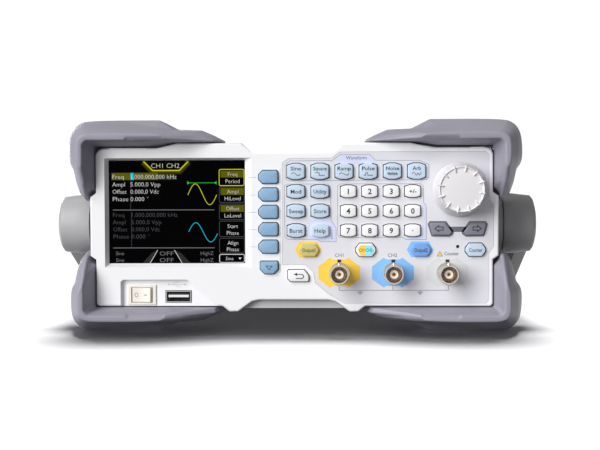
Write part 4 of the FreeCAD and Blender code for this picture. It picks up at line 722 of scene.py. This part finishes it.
for x0, mat in ((339.7, "print_yellow"), (393.5, "print_blue"), (447.8, "print_grey")):
    out = [(-20.9, 266.6), (-9.2, 257.6), (-6.8, 259.5), (6.8, 259.5), (9.2, 257.6), (20.9, 266.6), (20.9, 279.2), (9.2, 287.9), (6.8, 286.1), (-6.8, 286.1), (-9.2, 287.9), (-20.9, 279.2)]
    octagon([((x0 + u - 294.1) * 0.5137 + 0.1, 172.38 - 0.5137 * v) for u, v in out], mat)
P.stroke([(23.52, 25.87), (23.52, 23.15), (79.57, 23.15), (79.57, 25.87)], 0.22, yo2, "print_text")
P.stroke([(51.16, 25.87), (51.16, 23.15)], 0.22, yo2, "print_text")
for c in ((34.31, 23.15), (65.08, 23.15)):
    P.stroke([c, (c[0], c[1] - 0.9)], 0.22, yo2, "print_text")
    for k, hw in ((0.9, 1.5), (1.45, 0.95), (2.0, 0.4)):
        P.stroke([(c[0] - hw, c[1] - k), (c[0] + hw, c[1] - k)], 0.3, yo2, "print_text")
P.text("CH1", *(23.52, 41.28), 1.8, yo2, "print_text", bold=0.015)
P.text("CH2", *(50.90, 41.28), 1.8, yo2, "print_text", bold=0.015)
P.text("Counter", *(81.21, 42.05), 1.8, yo2, "print_text", width=7.4, bold=0.02)
c = (75.20, 41.90)
P.plate([(c[0] - 1.35, c[1] - 1.15), (c[0] + 1.35, c[1] - 1.15), (c[0], c[1] + 1.25)], yo2, "print_yellow")
P.stroke([(c[0] - 1.35, c[1] - 1.15), (c[0] + 1.35, c[1] - 1.15), (c[0], c[1] + 1.25)], 0.22, yo2 - 0.01, "print_text", True)
# bow-tie base under the arrow keys
for s in (-1, 1):
    pts = [(ARROW_MID + s * x, ARROW_Z + z) for x, z in ((13.4, -3.9), (4.2, -4.0), (2.2, -2.6), (2.0, -1.2), (5.9, 4.1), (14.3, 4.1), (15.4, 2.6))]
    P.plate(rounded(ccw(pts), 0.5), yo2, "arrow_base")
P.plate([(ARROW_MID - 3.6, ARROW_Z - 1.5), (ARROW_MID + 3.6, ARROW_Z - 1.5), (ARROW_MID + 4.6, ARROW_Z + 1.2), (ARROW_MID - 4.6, ARROW_Z + 1.2)], yo2, "arrow_base")
# call-out lines between display and soft keys, on the bezel face
yb = -145.0 - DECAL
for z in (81.5, 72.45, 63.5, 54.6, 45.75):
    P.stroke([(-23.6, z - 0.1), (-18.9, z - 0.1)], 0.16, yb, "print_line")
P.done("panel_printing", "chassis", None)

# raised mark beside the host port (trident) and switch legends
T = Build()
yt = -142.6 - DECAL
tx, tz = -60.2, 26.0
T.stroke([(tx - 4.6, tz), (tx + 3.6, tz)], 0.3, yt, "print_grey")
T.plate([(tx + 3.4, tz - 0.6), (tx + 4.8, tz), (tx + 3.4, tz + 0.6)], yt, "print_grey")
T.stroke([(tx - 2.6, tz), (tx - 1.4, tz + 1.2), (tx + 0.6, tz + 1.2)], 0.3, yt, "print_grey")
T.stroke([(tx - 1.4, tz), (tx - 0.2, tz - 1.2), (tx + 1.6, tz - 1.2)], 0.3, yt, "print_grey")
T.plate([(tx - 4.8 + 0.55 * math.cos(a * math.pi / 6), tz + 0.55 * math.sin(a * math.pi / 6)) for a in range(12)], yt - 0.005, "print_grey")
T.done("port_symbol", "chassis", None)

# rocker: pressed half carries a ring, raised half a bar
R = Build()
sx, sz, ry = -78.9, 20.6, -141.2
zt = 3.74
prof = [(-5.05, -2.0), (-2.5, -2.0), (0.0, -2.0), (2.2, -2.52), (4.45, -3.11), (4.9, -2.4), (5.3, -1.1), (4.4, 1.2), (2.4, 2.6), (-2.4, 2.6), (-4.4, 1.2), (-5.1, -0.6)]
for z0, z1 in ((-zt, zt),):
    ring = [(sx + x, ry + y) for x, y in prof]
    R.add([(x, y, sz + z0) for x, y in ring] + [(x, y, sz + z1) for x, y in ring],
          [(i, (i + 1) % 12, 12 + (i + 1) % 12, 12 + i) for i in range(12)] + [tuple(range(12)), tuple(reversed(range(12, 24)))], "cream_plastic")
ob = R.done("power_rocker_cap", "power_rocker", None)
recalc(ob)
bv = ob.modifiers.new("bevel", "BEVEL")
bv.width = 0.25 * MM
bv.segments = 2
bv.limit_method = "ANGLE"
bv.angle_limit = math.radians(30)
shade(ob, 40.0)
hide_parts("power_rocker")
R = Build()
R.stroke([(sx - 2.9 + 0.85 * math.cos(a * math.pi / 10), sz + 1.0 * math.sin(a * math.pi / 10)) for a in range(20)], 0.26, ry - 2.0 - DECAL, "legend_sand", True)
R.stroke([(sx + 1.0, sz), (sx + 2.7, sz)], 0.4, 0.0, "legend_sand")
R.v = [(x, (y if y != 0.0 else ry - 2.0 - (x - sx) * 0.2494 - DECAL), z) for x, y, z in R.v]
R.done("power_rocker_marks", "power_rocker", None)

# host port: lighter tongue, near-black painted shade in the throat and above the tongue, contacts
U = Build()
ux, uz = -59.9, 19.75
# painted shade: near-black plates at the back of the throat and in the strip above the tongue
U.plate([(ux - 5.9, uz - 2.4), (ux + 5.9, uz - 2.4), (ux + 5.9, uz + 2.4), (ux - 5.9, uz + 2.4)], -133.2, "painted_hollow_shade")
U.plate([(ux - 5.25, uz - 0.38), (ux + 5.25, uz - 0.38), (ux + 5.25, uz + 0.85), (ux - 5.25, uz + 0.85)], -142.2 - DECAL, "port_white")
U.plate([(ux - 5.25, uz + 0.85), (ux + 5.25, uz + 0.85), (ux + 5.25, uz + 1.38), (ux - 5.25, uz + 1.38)], -142.2 - DECAL, "painted_hollow_shade")
for k in range(4):
    xk = ux - 3.5 + k * 7.0 / 3
    U.add([(xk - 0.5, -142.1, uz - 0.43), (xk + 0.5, -142.1, uz - 0.43), (xk + 0.5, -136.0, uz - 0.43), (xk - 0.5, -136.0, uz - 0.43)], [(0, 1, 2, 3)], "gold")
U.done("host_port_details", "chassis", None)

# ------------------------------------------------------------------ display picture
L = Build()
yl = -140.45
D1, D2, D3, D4 = yl, yl - 0.02, yl - 0.04, yl - 0.06
L.plate([(-95.19, 90.09), (-24.97, 90.09), (-24.97, 37.02), (-95.19, 37.02)], D1, "lcd_black")
# channel tab
for k in range(6):
    g = 6 - k
    L.stroke([(-77.31, 89.88), (-72.59, 85.15), (-58.82, 85.15), (-54.10, 89.88)], 0.5 + 0.55 * g, D2 + 0.003 * g, "lcd_olive_dim" if k < 4 else "lcd_olive")
L.plate([(-76.60, 89.98), (-72.28, 85.56), (-59.13, 85.56), (-54.81, 89.98)], D3, "lcd_black")
L.stroke([(-77.31, 89.88), (-72.59, 85.15), (-58.82, 85.15), (-54.10, 89.88)], 0.42, D3, "lcd_yellow")
L.text("CH1 CH2", *(-66.01, 87.67), 2.4, D4, "lcd_pale", width=14.6)
# first channel
L.plate([(-93.96, 84.02), (-84.10, 84.02), (-84.10, 80.32), (-93.96, 80.32)], D2, "lcd_olive")
L.plate([(-84.10, 84.02), (-69.81, 84.02), (-69.81, 80.32), (-84.10, 80.32)], D2, "lcd_olive")
L.plate([(-69.81, 84.02), (-61.18, 84.02), (-61.18, 80.32), (-69.81, 80.32)], D2, "lcd_olive_dim")
L.plate([(-83.99, 84.02), (-82.55, 84.02), (-82.55, 80.32), (-83.99, 80.32)], D3, "lcd_cyan")


LABEL_W = {"Freq": 5.8, "Ampl": 6.5, "Offset": 7.2, "Phase": 8.0}


def line_text(s, px, mat, size=2.25, width=None):
    L.text(s, px[0], px[1], size, D4, mat, align="LEFT", width=width or LABEL_W.get(s), bold=-0.004)


for (label, value, w), at in zip((("Freq", "1,000,000,000 kHz", 23.6), ("Ampl", "5.000,0 Vpp", 15.4), ("Offset", "0.000,0 Vdc", 14.6), ("Phase", "0.000 °", 9.2)),
                                 (((-93.44, 81.97), (-83.79, 81.97)), ((-93.55, 78.06), (-84.10, 78.06)), ((-93.44, 74.31), (-84.10, 74.31)), ((-93.34, 70.51), (-84.10, 70.51)))):
    line_text(label, at[0], "lcd_white")
    line_text(value, at[1], "lcd_white", width=w)
for (label, value, w), at in zip((("Freq", "1,000,000,000 kHz", 23.6), ("Ampl", "5.000,0 Vpp", 15.4), ("Offset", "0.000,0 Vdc", 14.6), ("Phase", "0.000 °", 9.2)),
                                 (((-93.34, 62.29), (-83.43, 62.29)), ((-93.44, 58.54), (-83.68, 58.54)), ((-93.24, 54.85), (-83.68, 54.85)), ((-93.14, 51.15), (-83.68, 51.15)))):
    line_text(label, at[0], "lcd_dim")
    line_text(value, at[1], "lcd_dim", width=w)
L.stroke([(-93.44, 64.81), (-40.74, 64.81)], 0.3, D2, "lcd_grey")
L.stroke([(-93.44, 45.19), (-40.74, 45.19)], 0.3, D2, "lcd_grey")
L.stroke([(-84.10, 80.17), (-84.10, 65.27)], 0.16, D2, "lcd_dim")
L.stroke([(-83.79, 63.99), (-83.79, 45.75)], 0.16, D2, "lcd_dim")


def ease(p0, p1, p2, p3, n=40):
    """Sine-like line through start, peak, trough and end."""
    out = []
    mid = (p1[1] + p2[1]) / 2
    amp = (p1[1] - p2[1]) / 2
    x0, x1 = p0[0], p3[0]
    w = (p2[0] - p1[0]) * 2
    for i in range(n + 1):
        x = x0 + (x1 - x0) * i / n
        out.append((x, mid + amp * math.cos(2 * math.pi * (x - p1[0]) / w)))
    return out


L.stroke(ease((-54.40, 72.57), (-50.55, 78.22), (-43.10, 67.48), (-39.51, 71.95)), 0.3, D3, "lcd_yellow")
L.stroke(ease((-54.10, 52.74), (-50.40, 58.18), (-42.69, 48.22), (-39.15, 52.28)), 0.3, D3, "lcd_cyan")
L.stroke([(-54.15, 78.73), (-40.02, 78.73)], 0.28, D3, "lcd_green")
L.plate([(-54.71, 79.61), (-53.38, 78.73), (-54.71, 77.86)], D4, "lcd_green")
L.plate([(-39.56, 79.61), (-40.89, 78.73), (-39.56, 77.86)], D4, "lcd_green")
# status strip
for k, m in ((0, "lcd_glow"),):
    L.plate([(-78.29, 37.12), (-73.41, 42.41), (-70.23, 44.06), (-74.34, 37.12)], D2, m)
    L.plate([(-53.12, 37.12), (-58.00, 42.41), (-61.60, 44.06), (-57.49, 37.12)], D2, m)
L.plate([(-74.34, 37.12), (-70.23, 44.06), (-61.60, 44.06), (-57.49, 37.12)], D3, "lcd_black")
L.stroke([(-74.34, 37.12), (-70.23, 44.06)], 0.26, D4, "lcd_white")
L.stroke([(-61.60, 44.06), (-57.49, 37.12)], 0.26, D4, "lcd_white")
for a, c2, d in (((-89.85, 42.41), (-65.60, 42.31), (-44.64, 42.41)), ((-89.85, 38.92), (-65.60, 38.92), (-44.64, 38.92))):
    L.text("Sine", a[0], a[1], 1.9, D4, "lcd_grey")
    L.text("OFF", c2[0], c2[1], 2.2, D4, "lcd_grey", width=7.2)
    L.text("HighZ", d[0], d[1], 1.9, D4, "lcd_grey")
# menu column


def menu_box(a, c2, edge, rows, fill=True):
    """a and c2 are opposite corners."""
    pts = rounded(ccw([(a[0], a[1]), (c2[0], a[1]), (c2[0], c2[1]), (a[0], c2[1])]), 0.9)
    L.stroke(pts, 0.34 if edge == "lcd_yellow" or edge == "lcd_white" else 0.24, D3, edge, True)
    mid = (a[0] + c2[0]) / 2 + 0.5
    for (word, z, band) in rows:
        if band:
            L.plate([(a[0] + 0.7, z - 1.75), (c2[0] - 0.2, z - 1.75), (c2[0] - 0.2, z + 1.75), (a[0] + 0.7, z + 1.75)], D2, "lcd_olive")
        L.text(word, mid, z, 2.0, D4, "lcd_pale" if word in ("Freq", "Ampl", "Offset") else "lcd_white")


menu_box((-38.17, 85.62), (-25.33, 77.24), "lcd_yellow", [("Freq", (-150.98, 83.20)[1], True), ("Period", (-150.98, 79.55)[1], False)])
menu_box((-38.17, 76.52), (-25.33, 68.61), "lcd_dim", [("Ampl", (-150.98, 74.21)[1], True), ("HiLevel", (-150.98, 70.67)[1], False)])
menu_box((-38.17, 67.79), (-25.33, 59.78), "lcd_dim", [("Offset", (-150.98, 65.48)[1], True), ("LoLevel", (-150.98, 61.83)[1], False)])
menu_box((-38.17, 58.96), (-25.33, 50.94), "lcd_dim", [("Start", (-150.98, 56.39)[1], False), ("Phase", (-150.98, 52.89)[1], False)])
menu_box((-38.17, 50.12), (-25.33, 42.52), "lcd_dim", [("Align", (-150.98, 47.76)[1], False), ("Phase", (-150.98, 44.42)[1], False)])
menu_box((-38.17, 41.80), (-25.33, 37.59), "lcd_white", [])
L.text("Sine", *(-33.03, 39.69), 1.75, D4, "lcd_white")
t = (-27.59, 39.74)
L.plate([(t[0] - 0.8, t[1] + 0.4), (t[0] + 0.8, t[1] + 0.4), (t[0], t[1] - 0.7)], D4, "lcd_white")
L.v = [(24.03 + (x - 24.03) * 1.0073, y, 79.58 + (z - 79.58) * 1.0073) for x, y, z in L.v]
L.done("display_picture", "chassis", None)

# ------------------------------------------------------------------ bumpers
STATIONS = [-157.0, -152.5, -145.0, -137.0, -126.0, -118.0, -111.0, -107.0]
OUTER = [
    [(66.0, 45.4), (56, 45.2), (40, 44.4), (37, 44.4), (36, 44.4), (37, 44.4), (42, 44.8), (46, 44.4)],
    [(66.6, 46.4), (58, 47.0), (46, 46.6), (43, 47.3), (42.5, 47.7), (43, 47.6), (48, 46.4), (52, 45.0)],
    [(67.4, 47.2), (62, 48.0), (54, 48.4), (50.5, 49.5), (49, 50.5), (49.5, 50.4), (54, 48.6), (58, 45.6)],
    [(69.0, 47.5), (66, 48.3), (64, 49.3), (62.5, 50.3), (61.5, 51.0), (62, 51.0), (64.5, 49.4), (67, 46.0)],
    [(84.0, 47.9), (80, 49.0), (75, 50.4), (72.5, 51.8), (71.5, 56.0), (71.5, 56.0), (74, 54.0), (77, 47.6)],
    [(103.5, 47.9), (104.5, 49.5), (106.5, 52.2), (108, 54.1), (110, 56.0), (110, 56.0), (108.5, 54.0), (105, 47.6)],
    [(107.5, 46.9), (109.2, 48.3), (112, 50.5), (114, 51.9), (115.8, 53.8), (115.8, 53.8), (113.6, 51.8), (108.6, 46.2)],
    [(109.4, 45.0), (111.4, 45.9), (114.6, 47.3), (116.8, 48.3), (118.9, 49.4), (118.9, 49.4), (116.4, 48.0), (110.4, 44.0)],
    [(110.0, 42.5), (112.0, 42.6), (115.4, 42.8), (117.6, 42.9), (120.0, 43.0), (120.0, 43.0), (117.2, 42.4), (111.0, 41.0)],
    [(110.0, 34.5), (112.0, 34.3), (115.4, 34.0), (117.6, 33.8), (120.0, 33.5), (120.0, 33.6), (117.2, 34.0), (111.0, 35.0)],
    [(109.6, 32.3), (111.0, 31.0), (113.6, 30.0), (115.5, 29.8), (117.0, 29.5), (117.0, 29.7), (115.0, 31.0), (110.6, 33.0)],
    [(109.1, 31.4), (109.9, 27.0), (112.0, 23.5), (114.0, 23.0), (115.4, 22.4), (115.4, 23.0), (113.6, 26.5), (110.0, 31.4)],
    [(108.4, 30.9), (109.0, 24.0), (110.4, 18.2), (112.0, 17.2), (113.3, 16.6), (113.3, 17.6), (111.6, 23.0), (109.0, 30.2)],
    [(107.8, 30.7), (107.7, 22.0), (107.7, 14.4), (108.7, 13.3), (109.9, 12.9), (110.4, 14.6), (109.4, 21.0), (107.4, 29.6)],
]
INNER = [
    [(107.4, 30.9), (106.5, 22.6), (106.2, 14.7), (106.1, 13.6), (106.2, 13.2), (106.6, 14.8), (106.2, 21.2), (105.0, 29.6)],
    [(107.2, 31.6), (106.1, 24.5), (105.9, 17.4), (105.9, 16.6), (105.9, 16.6), (105.9, 17.4), (104.8, 22.4), (103.8, 30.2)],
    [(107.0, 33.0), (105.6, 27.0), (103.0, 20.2), (102.8, 19.6), (102.8, 19.6), (102.8, 20.0), (102.8, 24.4), (102.8, 31.2)],
    [(107.0, 42.6), (105.6, 41.6), (103.0, 41.0), (102.8, 41.1), (102.8, 41.1), (102.8, 41.1), (102.8, 41.1), (102.8, 41.1)],
    [(105.0, 44.7), (104.6, 43.2), (102.5, 41.6), (102.5, 41.5), (102.5, 41.5), (102.5, 41.5), (102.5, 41.5), (102.5, 41.5)],
    [(84.0, 44.7), (79.0, 43.4), (74.0, 41.8), (73.6, 41.5), (73.6, 41.5), (73.6, 41.5), (75.0, 41.5), (77.6, 41.5)],
]
TIP_UP = [
    [(70.0, 44.7), (66.0, 44.1), (61.5, 43.6), (61.0, 43.5), (61.0, 43.5), (61.5, 43.5), (64.0, 43.5), (66.8, 43.5)],
    [(66.4, 44.9), (56.6, 44.4), (41.0, 43.7), (38.0, 43.6), (37.0, 43.6), (38.0, 43.6), (43.0, 43.6), (47.0, 43.6)],
]
TIP_LOW = [
    [(70.0, 44.7), (66.0, 43.2), (61.5, 41.7), (61.0, 41.5), (61.0, 41.5), (61.5, 41.5), (64.0, 41.5), (66.8, 41.5)],
    [(66.4, 44.7), (56.6, 43.2), (41.0, 41.9), (38.0, 41.7), (37.4, 41.7), (38.4, 41.7), (43.0, 41.7), (47.0, 41.7)],
]


def settle(ob):
    """Replaces an object's mesh by the result of its modifiers."""
    bpy.context.view_layer.update()
    me = bpy.data.meshes.new_from_object(ob.evaluated_get(bpy.context.evaluated_depsgraph_get()))
    old = ob.data
    ob.modifiers.clear()
    ob.data = me
    bpy.data.meshes.remove(old)


def soften(ob, voxel, factor, times):
    """Rounds every edge of a closed mesh evenly."""
    m = ob.modifiers.new("remesh", "REMESH")
    m.mode = "VOXEL"
    m.voxel_size = voxel * MM
    m.use_smooth_shade = True
    m = ob.modifiers.new("smooth", "SMOOTH")
    m.factor = factor
    m.iterations = times
    settle(ob)


def corner_cut(rows, first, last):
    """Replaces every row in a stretch by two, a quarter of the way to its neighbours."""
    mix = lambda p, q, t: [(u[0] + (v[0] - u[0]) * t, u[1] + (v[1] - u[1]) * t) for u, v in zip(p, q)]
    out = []
    for i, row in enumerate(rows):
        if first <= i <= last:
            out += [mix(row, rows[i - 1], 0.25), mix(row, rows[i + 1], 0.25)]
        else:
            out.append(row)
    return out


def bumper(name, sx, up, tips, mirror_y, node):
    outer = corner_cut(OUTER, 5, 9)
    outer = corner_cut(outer, 5, 14)
    rows = outer + INNER + tips
    verts, faces = [], []
    k, m = len(rows), len(STATIONS)
    for i, y in enumerate(STATIONS):
        yy = y if not mirror_y else 2.2 - y
        for row in rows:
            verts.append((sx * row[i][0], yy, 56.0 + up * row[i][1]))
    for i in range(m - 1):
        for j in range(k):
            a, c2 = i * k + j, i * k + (j + 1) % k
            faces.append((a, c2, c2 + k, a + k))
    faces.append(tuple(range(k)))
    faces.append(tuple((m - 1) * k + j for j in range(k)))
    ob = new_object(name, verts, faces, ["bumper"], None, "chassis", None)
    recalc(ob)
    # the lip falls away in a wedge-shaped grip pad
    ys = (lambda y: y) if not mirror_y else (lambda y: 2.2 - y)
    edge = [(84.6, -157.8, 47.3), (66.4, -157.8, 47.3), (62.6, -157.8, 38.0), (85.8, -157.8, 38.0), (62.6, -150.0, 38.0), (85.8, -150.0, 38.0)]
    me = bpy.data.meshes.new("wedge")
    me.from_pydata([(sx * x * MM, ys(y) * MM, (56.0 + up * z) * MM) for x, y, z in edge], [], [(0, 1, 2, 3), (0, 3, 5), (1, 4, 2), (2, 4, 5, 3), (0, 5, 4, 1)])
    tool = bpy.data.objects.new("wedge", me)
    scene.collection.objects.link(tool)
    recalc(tool)
    cut_mod = ob.modifiers.new("recess", "BOOLEAN")
    cut_mod.operation = "DIFFERENCE"
    cut_mod.solver = "EXACT"
    cut_mod.object = tool
    settle(ob)
    tm = tool.data
    bpy.data.objects.remove(tool)
    bpy.data.meshes.remove(tm)
    soften(ob, 0.55 if not mirror_y else 0.7, 0.5, 4)
    if not ob.data.materials:
        ob.data.materials.append(MAT["bumper"])
    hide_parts(node)
    return ob


for node, my in (("front_bumpers", False), ("rear_bumpers", True)):
    for word, sx, up, tips in (("upper_right", 1, 1, TIP_UP), ("upper_left", -1, 1, TIP_UP), ("lower_right", 1, -1, TIP_LOW), ("lower_left", -1, -1, TIP_LOW)):
        bumper("%s_%s" % (node, word), sx, up, tips, my, node)

# ------------------------------------------------------------------ stage, lights, camera
fl = bpy.data.meshes.new("floor")
S = 6.0
fl.from_pydata([(-S, -S, 0), (S, -S, 0), (S, S, 0), (-S, S, 0)], [], [(0, 1, 2, 3)])
floor_mat = material("floor_paper", (0.86, 0.86, 0.87), rough=0.9, spec=0.1)
fl.materials.append(floor_mat)
floor = bpy.data.objects.new("floor", fl)
floor.location = (0, 0, 0)
scene.collection.objects.link(floor)

world = bpy.data.worlds.new("studio")
world.use_nodes = True
wt = world.node_tree
wb = wt.nodes["Background"]
wb.inputs["Color"].default_value = (1.0, 1.0, 1.0, 1.0)
wb.inputs["Strength"].default_value = AMBIENT
seen = wt.nodes.new("ShaderNodeBackground")
seen.inputs["Color"].default_value = (1.0, 1.0, 1.0, 1.0)
seen.inputs["Strength"].default_value = 1.05
path = wt.nodes.new("ShaderNodeLightPath")
mixer = wt.nodes.new("ShaderNodeMixShader")
either = wt.nodes.new("ShaderNodeMath")
either.operation = "MULTIPLY_ADD"
either.inputs[1].default_value = 0.4
wt.links.new(path.outputs["Is Glossy Ray"], either.inputs[0])
wt.links.new(path.outputs["Is Camera Ray"], either.inputs[2])
wt.links.new(either.outputs[0], mixer.inputs[0])
wt.links.new(wb.outputs[0], mixer.inputs[1])
wt.links.new(seen.outputs[0], mixer.inputs[2])
wt.links.new(mixer.outputs[0], wt.nodes["World Output"].inputs["Surface"])
scene.world = world
scene.view_settings.view_transform = "Standard"


def sun(name, direction, strength, spread, color=(1, 1, 1)):
    """Broad even light falling along the given direction."""
    d = bpy.data.lights.new(name, "SUN")
    d.energy = strength
    d.angle = math.radians(spread)
    d.color = color
    o = bpy.data.objects.new(name, d)
    scene.collection.objects.link(o)
    o.rotation_euler = Vector(direction).to_track_quat("-Z", "Y").to_euler()
    return o


# one set of lamps for the instrument and one for the table under it
off_table = bpy.data.collections.new("all_but_table")
off_table.objects.link(floor)
off_table.collection_objects[0].light_linking.link_state = "EXCLUDE"
on_table = bpy.data.collections.new("table_only")
on_table.objects.link(floor)
floor.visible_diffuse = False
for name, direction, strength, spread in BODY_LIGHTS:
    if strength > 0:
        sun(name, direction, strength, spread).light_linking.receiver_collection = off_table
for name, direction, strength, spread in TABLE_LIGHTS:
    if strength > 0:
        sun(name, direction, strength, spread).light_linking.receiver_collection = on_table

F, W = 1205.03, 600.0
YAW, PITCH, ROLL = math.radians(1.905), math.radians(2.098), math.radians(0.198)
fwd = Vector((-math.sin(YAW) * math.cos(PITCH), math.cos(YAW) * math.cos(PITCH), -math.sin(PITCH)))
rt = Vector((math.cos(YAW), math.sin(YAW), 0.0))
upv = rt.cross(fwd)
r2 = rt * math.cos(ROLL) - upv * math.sin(ROLL)
u2 = upv * math.cos(ROLL) + rt * math.sin(ROLL)
cam_data = bpy.data.cameras.new("camera")
cam_data.sensor_width = 36.0
cam_data.lens = 36.0 * F / W
cam_data.clip_start = 0.01
cam_data.clip_end = 50.0
cam = bpy.data.objects.new("camera", cam_data)
scene.collection.objects.link(cam)
C = Vector((24.03 * MM, -764.6 * MM, 79.58 * MM))
cam.matrix_world = Matrix(((r2.x, u2.x, -fwd.x, C.x), (r2.y, u2.y, -fwd.y, C.y), (r2.z, u2.z, -fwd.z, C.z), (0, 0, 0, 1)))
scene.camera = cam

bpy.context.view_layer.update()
